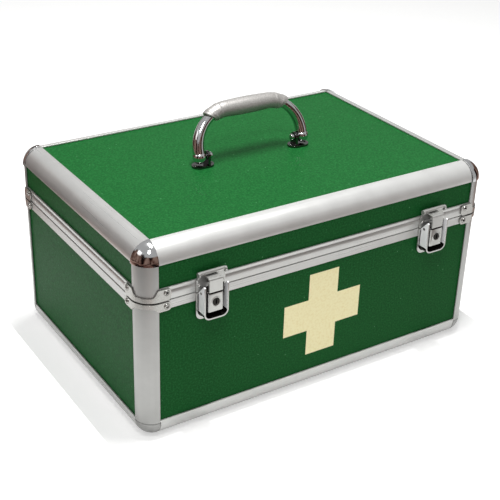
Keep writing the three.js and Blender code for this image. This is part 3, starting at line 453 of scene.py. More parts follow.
@dataclass(frozen=True)
class AnodisedAluminium(Finish):
    """Extruded, satin anodised aluminium: soft grey sheen with die lines along the bar.

    Args:
        axis: Direction of the die lines.
        tone: Colour of the metal.
        worn: Colour where hands have marked it.
        roughness: Middle of the roughness.
        metal: Share of the metal's own gloss; the rest is the oxide's milky white.
        sway: How far the roughness goes up and down.
        line: Width of a die line, drawn this coarse because real ones are too fine to show.
        run: How many times longer than wide a line is.
        mark: Size of the marks.
    """

    axis: Axis = Axis.X
    tone: str = "#cfcfcd"
    worn: str = "#c7c7c5"
    roughness: float = 0.33
    metal: float = 0.7
    sway: float = 0.06
    line: float = 0.7 * MM
    run: float = 120.0
    mark: float = 18 * MM

    def lay(self, surface: Surface) -> None:
        """Lays the die lines and the marks.

        Args:
            surface: The surface that gets them.
        """
        stretch = [1.0, 1.0, 1.0]
        stretch[self.axis.value] = self.run
        lines = surface.pattern(self.line, 2, stretch)
        marks = surface.pattern(self.mark, 4)
        surface.fix({"Metallic": self.metal})
        surface.colour(marks, {0.3: self.worn, 0.7: self.tone})
        surface.roughness(lines, self.roughness - self.sway, self.roughness + self.sway)
        surface.relief(lines, 0.02 * MM, 0.2)


@dataclass(frozen=True)
class ChromePlate(Finish):
    """Pressed steel, polished and chrome plated: mirror bright, with faint smears from hands.

    Args:
        tone: Colour of the plating.
        low: Roughness where it is clean.
        high: Roughness where it is smeared.
        metal: Share of mirror-like metal; the rest is a milky haze.
        smear: Size of a smear.
        wave: Size of the waves that polishing leaves.
    """

    tone: str = "#cdcecf"
    low: float = 0.06
    high: float = 0.16
    metal: float = 1.0
    smear: float = 6 * MM
    wave: float = 9 * MM

    def lay(self, surface: Surface) -> None:
        """Lays the smears and a trace of the waves.

        Args:
            surface: The surface that gets them.
        """
        smears = surface.pattern(self.smear, 4)
        surface.fix({"Metallic": self.metal, "Base Color": linear(self.tone)})
        surface.roughness(smears, self.low, self.high)
        surface.relief(surface.pattern(self.wave, 1), 0.15 * MM, 0.12)


@dataclass(frozen=True)
class PaintedShadeSteel(Finish):
    """Painted shade: dark, dull brown-black metal put in gaps, rivet holes and recesses where shade falls.

    Args:
        tone: Colour of the painted shade.
        deep: Its darker colour in the blotches.
        low: Lowest roughness.
        high: Highest roughness.
        metal: Share of bare metal.
        blotch: Size of a blotch.
    """

    tone: str = "#1c1917"
    deep: str = "#100e0d"
    low: float = 0.4
    high: float = 0.6
    metal: float = 0.8
    blotch: float = 2 * MM

    def lay(self, surface: Surface) -> None:
        """Lays the blotches.

        Args:
            surface: The surface that gets them.
        """
        blotches = surface.pattern(self.blotch, 4)
        surface.fix({"Metallic": self.metal})
        surface.colour(blotches, {0.3: self.deep, 0.7: self.tone})
        surface.roughness(blotches, self.low, self.high)
        surface.relief(blotches, 0.05 * MM, 0.3)


@dataclass(frozen=True)
class MelamineLaminate(Finish):
    """Green melamine laminate, pressed against a pebbled plate: low gloss with a fine mottle.

    Args:
        tones: Dark, middle and light green of the mottle.
        speck: Colour of the few pale specks.
        grain: Size of the mottle's grains.
        spacing: Distance between specks.
        rim: Where a speck starts to fade and where it ends, as shares of that distance.
        cover: How much of the green a speck covers.
        pebble: Size of the relief's pebbles.
        gloss: Strength of the clear gloss.
    """

    tones: tuple[str, str, str] = ("#104720", "#145023", "#1d5d2d")
    speck: str = "#5f9a6c"
    grain: float = 1.6 * MM
    spacing: float = 12 * MM
    rim: tuple[float, float] = (0.035, 0.055)
    cover: float = 0.55
    pebble: float = 1.0 * MM
    gloss: float = 0.045

    def lay(self, surface: Surface) -> None:
        """Lays the mottle, the specks and the pebbled relief.

        Args:
            surface: The surface that gets them.
        """
        dark, middle, pale = self.tones
        stops = {0.34: dark, 0.5: middle, 0.68: pale}
        links = {"Fac": surface.pattern(self.grain, 5)}
        mottle = add_node(surface.tree, "ShaderNodeValToRGB", links=links, stops=stops)
        settings = {"Scale": 1 / self.spacing}
        cells = add_node(surface.tree, "ShaderNodeTexVoronoi", settings, {"Vector": surface.place()})
        start, end = self.rim
        settings = {"From Min": start, "From Max": end, "To Min": self.cover, "To Max": 0.0}
        near = add_node(surface.tree, "ShaderNodeMapRange", settings, {"Value": cells.outputs["Distance"]})
        # In a mix of colours, inputs 6 and 7 are the two colours and output 2 is the result
        settings = {"data_type": "RGBA", 7: linear(self.speck)}
        links = {0: near.outputs["Result"], 6: mottle.outputs["Color"]}
        speckled = add_node(surface.tree, "ShaderNodeMix", settings, links)
        surface.feed("Base Color", speckled.outputs[2])
        pebbles = surface.pattern(self.pebble, 2)
        surface.roughness(pebbles, 0.36, 0.5)
        surface.fix({"Specular IOR Level": self.gloss})
        surface.relief(pebbles, 0.08 * MM, 0.5)


@dataclass(frozen=True)
class ScreenInk(Finish):
    """Screen-printed ink on the laminate: flat cream that follows the pebble below it.

    Args:
        tone: Colour of the ink.
        thin: Colour where the ink lies thin.
        grain: Size of the thin places.
        pebble: Size of the laminate's pebbles.
    """

    tone: str = "#f5ebba"
    thin: str = "#eee0a8"
    grain: float = 2.2 * MM
    pebble: float = 1.0 * MM

    def lay(self, surface: Surface) -> None:
        """Lays the thin places and the relief that shows through.

        Args:
            surface: The surface that gets them.
        """
        surface.colour(surface.pattern(self.grain, 5), {0.3: self.thin, 0.55: self.tone})
        pebbles = surface.pattern(self.pebble, 2)
        surface.roughness(pebbles, 0.45, 0.6)
        surface.relief(pebbles, 0.05 * MM, 0.4)


@dataclass(frozen=True)
class SilverPlastic(Finish):
    """Moulded plastic with metal flake in it: grey, soft sheen, fine spark-eroded texture.

    Args:
        tone: Colour of the plastic.
        dark: Its colour between the flakes.
        metal: Share of metal in it.
        flake: Size of a flake, drawn this coarse because real ones are too fine to show.
    """

    tone: str = "#aba9a6"
    dark: str = "#8f8c89"
    metal: float = 0.55
    flake: float = 0.8 * MM

    def lay(self, surface: Surface) -> None:
        """Lays the flake and the mould's texture.

        Args:
            surface: The surface that gets them.
        """
        flakes = surface.pattern(self.flake, 3)
        surface.colour(flakes, {0.3: self.dark, 0.65: self.tone})
        surface.fix({"Metallic": self.metal})
        surface.roughness(flakes, 0.36, 0.5)
        surface.relief(flakes, 0.05 * MM, 0.5)


@dataclass(frozen=True)
class NeedleFelt(Finish):
    """Grey needle felt, glued in as a lining: matt, with short tangled fibres.

    Args:
        tone: Colour of the felt.
        deep: Its colour between the fibres.
        fibre: Width of a fibre.
        tangle: How many times longer than that it is along each axis.
    """

    tone: str = "#6b6e70"
    deep: str = "#505356"
    fibre: float = 0.5 * MM
    tangle: tuple[float, float, float] = (6, 2, 3)

    def lay(self, surface: Surface) -> None:
        """Lays the fibres and a soft sheen.

        Args:
            surface: The surface that gets them.
        """
        fibres = surface.pattern(self.fibre, 4, self.tangle)
        surface.colour(fibres, {0.3: self.deep, 0.7: self.tone})
        surface.fix({"Roughness": 0.95, "Sheen Weight": 0.25})
        surface.relief(fibres, 0.3 * MM, 0.6)


@dataclass(frozen=True)
class PaperSweep(Finish):
    """White studio paper: matt, and as white to the camera and in metal as the light allows.

    Args:
        tone: Colour of the paper.
        dip: Its colour between the fibres.
        fibre: Size of the fibres.
        glow: Light that the camera sees on top of it.
        sheen: Light that mirror-like metal sees on top of it.
    """

    tone: str = "#dededd"
    dip: str = "#dadad9"
    fibre: float = 8 * MM
    glow: float = 0.45
    sheen: float = 0.2

    def lay(self, surface: Surface) -> None:
        """Lays the fibre and the glow.

        Args:
            surface: The surface that gets them.
        """
        surface.colour(surface.pattern(self.fibre, 3), {0.3: self.dip, 0.7: self.tone})
        surface.fix({"Roughness": 0.9, "Specular IOR Level": 0.1, "Emission Color": linear("#ffffff")})
        surface.feed("Emission Strength", seen_directly(surface.tree, self.glow, self.sheen))


@dataclass(frozen=True)
class FeltCard(Finish):
    """Brown felt on screens round the table: gives chrome something dark to reflect.

    Args:
        tone: Colour of the felt, as painted light on a fold's crest.
        middle: Its colour as painted half shade on the slope of a fold.
        shade: Painted shade in the depth of a fold.
        fold: Width of a fold.
        drop: How many times longer a fold is from top to bottom.
    """

    tone: str = "#a08478"
    middle: str = "#5d4038"
    shade: str = "#140d0c"
    fold: float = 400 * MM
    drop: float = 4

    def lay(self, surface: Surface) -> None:
        """Lays painted folds, painted shade in their depth and painted light on their crests, that break the
        reflections into streaks.

        Args:
            surface: The surface that gets them.
        """
        folds = surface.pattern(self.fold, 2, (1, 1, self.drop))
        surface.colour(folds, {0.4: self.shade, 0.5: self.middle, 0.6: self.tone})
        surface.fix({"Roughness": 1.0, "Specular IOR Level": 0.0})


class Palette(Enum):
    """The finishes of this case."""

    # The rails and posts are one extrusion: the posts' darker tone is painted shade, and the front and back
    # rails' paler, milkier copy is painted light
    RAIL_X = AnodisedAluminium("satin_anodised_aluminium_x", Axis.X, "#d0d0ce", "#c8c8c6", 0.35, 0.57)
    RAIL_Y = AnodisedAluminium("satin_anodised_aluminium_y", Axis.Y, "#c9c9c7", "#c2c2c0")
    RAIL_Z = AnodisedAluminium("shaded_satin_anodised_aluminium_z", Axis.Z, "#acacaa", "#a5a5a3", 0.38)
    FRAME = AnodisedAluminium("satin_anodised_closing_frame", Axis.X, "#bebebc", "#b8b8b6")
    CORNER = AnodisedAluminium("pressed_aluminium_corner", Axis.Z, "#a8a8a6", "#a0a09e", 0.36)
    CHROME = ChromePlate("chrome_plated_steel")
    CLAMP = ChromePlate("satin_nickel_plated_steel", "#acaba7", 0.2, 0.3, 0.8)
    LATCH = ChromePlate("hazed_chrome_plated_latch_steel", "#b8b8b5", 0.14, 0.26, 0.62)
    # Painted light: a pale, nearly matt copy of the latch chrome for the cup's sides and ear tops
    PAINTED_LIGHT_LATCH = ChromePlate("painted_light_latch_side", "#f2f3f4", 0.3, 0.4, 0.1)
    # Painted reflection and shade: chrome made dark for the handle's feet, standing in for the dark things
    # they reflect, and for the levers' flanks
    PAINTED_DARK_CHROME = ChromePlate("painted_dark_chrome", "#666665", 0.06, 0.14)
    HINGE = ChromePlate("nickel_plated_hinge_steel", "#b9b6ae", 0.16, 0.26)
    # Painted shade: the lock barrel is nearly black for the shade in its recess
    SHADED_LOCK = ChromePlate("painted_shade_lock_barrel", "#2f2e2c", 0.22, 0.34)
    # Painted shade: dark dull metal for gaps, rivet holes, the latch cups, the lever's top edges and the
    # claws' arms
    PAINTED_SHADE = PaintedShadeSteel("painted_shade_steel")
    BOARD = MelamineLaminate("green_melamine_laminate")
    INK = ScreenInk("cream_screen_ink")
    GRIP = SilverPlastic("silver_moulded_plastic")
    FELT = NeedleFelt("grey_needle_felt")
    PAPER = PaperSweep("white_studio_paper")
    CARD = FeltCard("brown_felt_card")

    @property
    def material(self) -> bpy.types.Material:
        """Gives the Blender material of the finish."""
        return self.value.material()


class Slot(Enum):
    """The record's material slots for the new pieces; nothing in this script uses them."""

    RAIL = "rail_aluminium"
    CHROME = "chrome"
    GRIP = "grip"


def dress(
    piece: Piece, finish: Palette, body: str, nodes: Sequence[str] = ()
) -> None:
    """Gives a piece its finish, ties it to its body and hides the CAD nodes that it stands for.

    Args:
        piece: The object.
        finish: Its finish.
        body: The CAD body that carries it.
        nodes: The CAD nodes that it replaces.
    """
    piece.data.materials.append(finish.material)
    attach(piece, body)
    if nodes:
        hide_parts(*nodes)


def refinish(piece: Piece, finish: Palette, chosen: Callable[[Face], bool]) -> None:
    """Gives some faces of a piece another finish.

    Args:
        piece: The piece, which has its own finish already.
        finish: The other finish.
        chosen: Tells whether a face gets it.
    """
    piece.data.materials.append(finish.material)
    number = len(piece.data.materials) - 1
    for face in piece.data.polygons:
        if chosen(face):
            face.material_index = number


# The case, in its sub-assemblies


@dataclass(frozen=True)
class Shell:
    """Outer sizes of the case that its sub-assemblies share, in metres.

    Args:
        width: Width over the rails.
        depth: Depth over the rails.
        height: Height over the rails.
        radius: Radius of the rounded edges.
        gap: Fitting gap between pieces.
        board_depth: How far the boards' faces lie inside the rails' faces.
    """

    width: float
    depth: float
    height: float
    radius: float
    gap: float
    board_depth: float

    @classmethod
    def from_frame(cls) -> "Shell":
        """Reads the sizes from the CAD nodes' boxes.

        Returns:
            The sizes.
        """
        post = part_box("case_post_front_left")
        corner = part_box("bottom_corner_front_left")
        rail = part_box("top_rail_front")
        return cls(
            width=-2 * post[0].x,
            depth=-2 * rail[0].y,
            height=rail[1].z,
            radius=corner[1].x - corner[0].x,
            gap=post[0].z - corner[1].z,
            board_depth=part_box("case_front_panel")[0].y - rail[0].y,
        )

    @property
    def corners(self) -> list[tuple[str, int, int]]:
        """Gives each upright edge's name and the signs of its x and y.

        Returns:
            One row for each edge, from the front left to the back right.
        """
        return [
            (f"{'back' if sy > 0 else 'front'}_{'right' if sx > 0 else 'left'}", sx, sy)
            for sy in (-1, 1)
            for sx in (-1, 1)
        ]

    def edge(self, sx: int, sy: int, z: float = 0.0) -> Vector:
        """Gives the sharp upright edge that a rounded one would have, at a height."""
        return Vector((sx * self.width / 2, sy * self.depth / 2, z))


@dataclass
class EdgeRails:
    """The quarter-round rails and posts, each with a slot for a board on both faces.

    Args:
        shell: Outer sizes of the case.
        lip: Thickness of the outer lip.
        slot_floor: Depth of a slot from the sharp corner.
        inner_start: Depth at which the inner leg starts.
        wall: Thickness of the inner leg.
        setback: How much shorter the inner leg is.
        steps: Chords in the rounded face.
    """

    shell: Shell
    lip: float = 1.3 * MM
    slot_floor: float = 11 * MM
    inner_start: float = 5.9 * MM
    wall: float = 1.2 * MM
    setback: float = 1 * MM
    steps: int = 20

    def section(self, face_leg: float, side_leg: float) -> Section:
        """Gives a rail's section from the sharp corner.

        Args:
            face_leg: Length of the leg along the top or bottom face.
            side_leg: Length of the leg along the side.

        Returns:
            Points as (distance in from the side face, distance in from the top or bottom face).
        """
        r, lip, slot = self.shell.radius, self.lip, self.slot_floor
        near, far = self.inner_start, self.inner_start + self.wall
        face_end, side_end = face_leg - self.setback, side_leg - self.setback
        start = [(face_leg, 0.0)] if face_leg > r else []
        end = [(0.0, side_leg)] if side_leg > r else []
        side_slot = [(lip, side_leg), (lip, slot), (near, slot), (near, side_end), (far, side_end)]
        face_slot = [(face_end, far), (face_end, near), (slot, near), (slot, lip), (face_leg, lip)]
        return [*start, *arc(r, r, r, 270, 180, self.steps), *end, *side_slot, (far, far), *face_slot]

    def level_rail(self, name: str, axis: Axis, sign: int, top: bool) -> None:
        """Builds a rail of the top or bottom frame, mitred where it meets its neighbours.

        Args:
            name: The side of the case that it is on.
            axis: Direction that it runs in.
            sign: Sign of its place across that direction.
            top: Whether it belongs to the lid's top.
        """
        node = f"{'top' if top else 'bottom'}_rail_{name}"
        low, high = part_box(node)
        across = 1 - axis.value
        half = (self.shell.width if axis is Axis.X else self.shell.depth) / 2
        side = (self.shell.depth if axis is Axis.X else self.shell.width) / 2
        square_end = self.shell.radius + self.shell.gap
        mitre_gap = self.shell.gap / math.sqrt(2)
        rings = []
        for way in (-1, 1):
            ring = []
            for inward, down in self.section(high[across] - low[across], high.z - low.z):
                point = Vector()
                point[axis.value] = way * (half - max(square_end, inward + mitre_gap))
                point[across] = sign * (side - inward)
                point.z = self.shell.height - down if top else down
                ring.append(point)
            rings.append(ring)
        rail = Draft().skin(rings).make(f"{node}_profile")
        finish = Palette.RAIL_X if axis is Axis.X else Palette.RAIL_Y
        dress(rail, finish, "lid" if top else "case", [node])

    def post(self, node: str, sx: int, sy: int, body: str) -> None:
        """Builds an upright rail where its CAD node stands.

        Args:
            node: Name of the CAD node.
            sx: Sign of its x.
            sy: Sign of its y.
            body: The body that carries it.
        """
        low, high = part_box(node)
        section = self.section(self.shell.radius, self.shell.radius)
        rings = []
        for z in (low.z, high.z):
            rings.append([self.shell.edge(sx, sy, z) - Vector((sx * u, sy * v, 0)) for u, v in section])
        dress(Draft().skin(rings).make(f"{node}_profile"), Palette.RAIL_Z, body, [node])

    def build(self) -> None:
        """Builds all rails and posts."""
        sides = (("front", Axis.X, -1), ("back", Axis.X, 1), ("left", Axis.Y, -1), ("right", Axis.Y, 1))
        for name, axis, sign in sides:
            self.level_rail(name, axis, sign, top=True)
            self.level_rail(name, axis, sign, top=False)
        for name, sx, sy in self.shell.corners:
            self.post(f"case_post_{name}", sx, sy, "case")
            self.post(f"lid_post_{name}", sx, sy, "lid")


@dataclass
class CornerCaps:
    """The eight corners: chrome balls on the lid, plain pressed caps below.

    Args:
        shell: Outer sizes of the case.
        wall: Thickness of a cap.
        rounding: Rounding of its edges.
        steps: Chords in each quarter turn.
    """

    shell: Shell
    wall: float = 4 * MM
    rounding: float = 0.4 * MM
    steps: int = 18

    def cap(self, node: str, sx: int, sy: int, top: bool) -> None:
        """Builds one cap: an eighth of a hollow ball.

        Args:
            node: Name of the CAD node.
            sx: Sign of its x.
            sy: Sign of its y.
            top: Whether it is on the lid.
        """
        low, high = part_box(node)
        reach = high.x - low.x
        z = self.shell.height - self.shell.radius if top else self.shell.radius
        inward = Vector((sx * self.shell.radius, sy * self.shell.radius, 0))
        centre = self.shell.edge(sx, sy, z) - inward
        signs = Vector((sx, sy, 1 if top else -1))
        n = self.steps
        turns = [math.pi / 2 * i / n for i in range(n + 1)]
        draft = Draft()
        for radius in (reach, reach - self.wall):
            for rise in turns:
                level = math.cos(rise)
                for turn in turns:
                    way = Vector((level * math.cos(turn), level * math.sin(turn), math.sin(rise)))
                    draft.points.append(centre + way * signs * radius)
        inner = (n + 1) ** 2
        for i in range(n):
            for j in range(n):
                a = i * (n + 1) + j
                quad = (a, a + 1, a + n + 2, a + n + 1)
                draft.faces.append(quad)
                draft.faces.append(tuple(inner + k for k in reversed(quad)))
            for start, step in ((0, 1), (0, n + 1), (n, n + 1)):
                a = start + i * step
                draft.faces.append((a, a + step, inner + a + step, inner + a))
        cap = draft.make(f"{node}_cap", self.rounding)
        if top:
            dress(cap, Palette.CHROME, "lid", [node])
        else:
            dress(cap, Palette.CORNER, "case", [node])

    def build(self) -> None:
        """Builds all eight caps."""
        for name, sx, sy in self.shell.corners:
            self.cap(f"ball_corner_{name}", sx, sy, top=True)
            self.cap(f"bottom_corner_{name}", sx, sy, top=False)


@dataclass
class ClosingFrames:
    """The two frames that meet at the parting line: a full bar along each side, a low land round each corner.

    Args:
        shell: Outer sizes of the case.
        lip: Thickness of the outer wall.
        inner_start: Depth at which the inner wall starts.
        inner_end: Depth at which it ends.
        setback: How much shorter the inner wall is.
        land: Thickness of the lower frame's land.
        tongue: Width and height of its tongue.
        groove: Depth of the upper frame's groove for it.
        web: Thickness of the web over that groove.
        taper: Depth and height of the slope along the upper frame's lower edge.
        line: Depth, half height and distance from the top of the fine line in its face.
        seam: Gap between a bar and a corner.
        rounding: Rounding of the edges.
        steps: Chords in each corner.
    """

    shell: Shell
    lip: float = 1.3 * MM
    inner_start: float = 5.9 * MM
    inner_end: float = 7.1 * MM
    setback: float = 1 * MM
    land: float = 2.8 * MM
    tongue: tuple[float, float] = (2 * MM, 2.2 * MM)
    groove: float = 2.5 * MM
    web: float = 1.2 * MM
    taper: tuple[float, float] = (0.5 * MM, 4.5 * MM)
    line: tuple[float, float, float] = (0.4 * MM, 0.6 * MM, 3 * MM)
    seam: float = 0.05 * MM
    rounding: float = 0.15 * MM
    steps: int = 16

    def case_bar(self, low: float, high: float) -> Section:
        """Gives the lower frame's section.

        Args:
            low: Height of its lower edge.
            high: Height of its meeting face.

        Returns:
            Points as (depth, height).
        """
        under, end = high - self.land, low + self.setback
        face = [(0.0, low), (0.0, high), *self.case_land(high)[1:-1]]
        inner = [(self.inner_end, end), (self.inner_start, end), (self.inner_start, under)]
        return [*face, *inner, (self.lip, under), (self.lip, low)]

    def case_land(self, high: float) -> Section:
        """Gives the lower frame's section in a corner.

        Args:
            high: Height of its meeting face.

        Returns:
            Points as (depth, height).
        """
        width, rise = self.tongue
        outer, inner = self.inner_end / 2 - width / 2, self.inner_end / 2 + width / 2
        under, face = high - self.land, self.shell.board_depth
        tongue = [(outer, high), (outer, high + rise), (inner, high + rise), (inner, high)]
        return [(face, under), (face, high), *tongue, (self.inner_end, high), (self.inner_end, under)]

    def lid_bar(self, low: float, high: float) -> Section:
        """Gives the upper frame's section.

        Args:
            low: Height of its meeting face.
            high: Height of its upper edge.

        Returns:
            Points as (depth, height).
        """
        web_low = low + self.groove
        web_high = web_low + self.web
        end = high - self.setback
        slope, rise = self.taper
        depth, half, inset = self.line
        line = [(0.0, high - inset - half), (depth, high - inset), (0.0, high - inset + half)]
        face = [(slope, low), (0.0, low + rise), *line, (0.0, high), (self.lip, high), (self.lip, web_high)]
        inner = [(self.inner_start, web_high), (self.inner_start, end), (self.inner_end, end)]
        groove = [(self.inner_start, low), (self.inner_start, web_low), (self.lip, web_low), (self.lip, low)]
        return [*face, *inner, (self.inner_end, low), *groove]

    def lid_land(self, low: float) -> Section:
        """Gives the upper frame's section in a corner.

        Args:
            low: Height of its meeting face.

        Returns:
            Points as (depth, height).
        """
        face, start, end = self.shell.board_depth, self.inner_start, self.inner_end
        web_low = low + self.groove
        web_high = web_low + self.web
        outside = [(face, web_low), (face, web_high), (end, web_high)]
        return [*outside, (end, low), (start, low), (start, web_low)]

    def frame(self, node: str, bar: Section, land: Section, body: str) -> None:
        """Builds a frame of four bars and four corners.

        Args:
            node: Name of the CAD node.
            bar: A bar's section as (depth, height).
            land: A corner's section as (depth, height).
            body: The body that carries it.
        """
        r, end = self.shell.radius, self.shell.radius + self.shell.gap
        half_x, half_y = self.shell.width / 2, self.shell.depth / 2
        end_x, end_y = half_x - end, half_y - end
        draft = Draft()
        for sign in (-1, 1):
            draft.skin([[Vector((x, sign * (half_y - d), z)) for d, z in bar] for x in (-end_x, end_x)])
            draft.skin([[Vector((sign * (half_x - d), y, z)) for d, z in bar] for y in (-end_y, end_y)])
        tail = self.shell.gap - self.seam
        for sx, sy in ((1, 1), (-1, 1), (-1, -1), (1, -1)):
            centre = self.shell.edge(sx, sy) - Vector((sx * r, sy * r, 0))
            rings = []
            for a, b in arc(0, 0, 1, 0, 90, self.steps):
                tip = Vector((a * sx, b * sy, 0))
                rings.append([centre + tip * (r - d) + Vector((0, 0, z)) for d, z in land])
            first = [p - Vector((0, sy * tail, 0)) for p in rings[0]]
            last = [p - Vector((sx * tail, 0, 0)) for p in rings[-1]]
            draft.skin([first, *rings, last])
        made = draft.make(f"{node}_profile", self.rounding)
        dress(made, Palette.FRAME, body, [node])

    def build(self) -> None:
        """Builds both frames."""
        low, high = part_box("case_closing_frame")
        meeting = high.z - self.tongue[1]
        self.frame("case_closing_frame", self.case_bar(low.z, meeting), self.case_land(meeting), "case")
        low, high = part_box("lid_closing_frame")
        self.frame("lid_closing_frame", self.lid_bar(low.z, high.z), self.lid_land(low.z), "lid")


@dataclass(frozen=True)
class Rivet:
    """A hollow rivet in its pressed cup; its sections are (radius, height over the tab) in millimetres.

    Args:
        cup: Section of the cup, from the axis under the tab to the head's foot.
        head: Section of the rolled head and its bore, back to the axis.
        lining: Section of the painted shade that lines the bore.
        sides: Sides round the rivet.
        bore_sides: Sides round its bore.
    """

    cup: tuple[tuple[float, float], ...] = (
        (0, -0.9), (2.75, -0.9), (2.75, 0.1), (2.65, 0.24), (2.5, 0.22), (2.4, 0.0), (2.3, 0.0),
    )  # fmt: skip
    head: tuple[tuple[float, float], ...] = (
        (2.25, 0.35), (2.0, 0.68), (1.65, 0.85), (1.35, 0.8), (1.2, 0.55), (1.2, -0.7), (0, -0.7),
    )  # fmt: skip
    lining: tuple[tuple[float, float], ...] = (
        (0, -0.68), (1.19, -0.68), (1.19, 0.3), (1.1, 0.3), (1.1, -0.6), (0, -0.6),
    )  # fmt: skip
    sides: int = 28
    bore_sides: int = 20

    def add(self, metal: Draft, bore_shade: Draft, place: Matrix) -> None:
        """Adds the rivet to a clamp.

        Args:
            metal: The clamp.
            bore_shade: The painted shade inside its rivets' holes.
            place: Frame of the rivet, its third axis pointing out of the tab.
        """
        metal.turned([(r * MM, z * MM) for r, z in self.cup + self.head], place, self.sides)
        bore_shade.turned([(r * MM, z * MM) for r, z in self.lining], place, self.bore_sides)


@dataclass
class CornerClamps:
    """Pressed clamps round the corners of both frames, each with a riveted tab on both faces.

    Args:
        shell: Outer sizes of the case.
        rivet: Its rivets.
        thickness: Thickness of the pressing.
        reach: Distance of a tab's end from the sharp corner.
        band: Height of the band round the corner.
        tab_radius: Rounding of a tab's end.
        tab_shares: Where the stations of that rounding lie, as shares of its radius.
        rivet_inset: Distance of the rivet from the tab's end.
        rivet_rise: Its distance from the parting edge, by the body that carries the clamp.
        bend: Angles between which a tab narrows to the band.
        bend_shares: Where the stations of that stretch lie, as shares of it.
        middle: Angles of the last stations, the second in the middle of the corner.
    """

    shell: Shell
    rivet: Rivet = Rivet()
    thickness: float = 1 * MM
    reach: float = 25.5 * MM
    band: float = 4 * MM
    tab_radius: float = 3 * MM
    tab_shares: tuple[float, ...] = (0, 0.06, 0.15, 0.3, 0.5, 0.75, 1)
    rivet_inset: float = 4 * MM
    rivet_rise: dict[str, float] = field(default_factory=lambda: {"case": 3.4 * MM, "lid": 7 * MM})
    bend: tuple[float, float] = (5, 22)
    bend_shares: tuple[float, ...] = (0, 0.03, 0.08, 0.16, 0.28, 0.42, 0.6, 0.8, 1)
    middle: tuple[float, float] = (37.5, 45.0)

    def stations(self) -> list[tuple[float, float, float, float, float, float]]:
        """Gives points along the clamp as u, v, the way out in u and v, end rounding and band share.

        Returns:
            One row for each station, from the end of one tab to the end of the other.
        """
        r, tab = self.shell.radius, self.tab_radius
        found = []
        for share in self.tab_shares:
            trim = tab - math.sqrt(tab**2 - (tab * (1 - share)) ** 2)
            found.append((self.reach - tab * share, 0.0, 0.0, -1.0, trim, 0.0))
        low, high = self.bend
        half = [0.0, low / 2, *(low + (high - low) * share for share in self.bend_shares), *self.middle]
        for angle in half + [90 - a for a in reversed(half[:-1])]:
            near = min(angle, 90 - angle)
            share = math.sin(math.pi / 2 * min(max((near - low) / (high - low), 0), 1))
            s, c = math.sin(math.radians(angle)), math.cos(math.radians(angle))
            found.append((r - r * s, r - r * c, -s, -c, 0.0, share))
        tabs = found[: len(self.tab_shares)]
        found += [(v, u, out_v, out_u, trim, share) for u, v, out_u, out_v, trim, share in reversed(tabs)]
        return found

    def clamp(self, node: str, sx: int, sy: int, body: str) -> None:
        """Builds a clamp; its band runs along the parting line.

        Args:
            node: Name of the CAD node.
            sx: Sign of its x.
            sy: Sign of its y.
            body: The body that carries it.
        """
        low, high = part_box(node)
        parting, up = (low.z, 1) if body == "lid" else (high.z, -1)
        full = high.z - low.z
        inner, outer = self.shell.gap, self.shell.gap + self.thickness
        rings = []
        for u, v, out_u, out_v, trim, share in self.stations():
            near = parting + up * trim
            end = parting + up * (full - trim - share * (full - self.band))
            base = self.shell.edge(sx, sy) - Vector((sx * u, sy * v, 0))
            out = Vector((-sx * out_u, -sy * out_v, 0))
            corners = ((inner, near), (outer, near), (outer, end), (inner, end))
            rings.append([base + out * d + Vector((0, 0, z)) for d, z in corners])
        draft, bore_shade = Draft().skin(rings), Draft()
        inset = self.reach - self.rivet_inset
        edge = self.shell.edge(sx, sy, parting + up * self.rivet_rise[body])
        on_long, on_short = Vector((-sx * inset, sy * outer, 0)), Vector((sx * outer, -sy * inset, 0))
        self.rivet.add(draft, bore_shade, facing(edge + on_long, Vector((0, sy, 0)), UP))
        self.rivet.add(draft, bore_shade, facing(edge + on_short, Vector((sx, 0, 0)), UP))
        # The rivets' holes are lined with painted shade
        dress(bore_shade.make(f"{node}_rivet_bores", 0), Palette.PAINTED_SHADE, body)
        dress(draft.make(f"{node}_pressing"), Palette.CLAMP, body, [node])

    def build(self) -> None:
        """Builds all eight clamps."""
        for name, sx, sy in self.shell.corners:
            self.clamp(f"case_clamp_{name}", sx, sy, "case")
            self.clamp(f"lid_clamp_{name}", sx, sy, "lid")


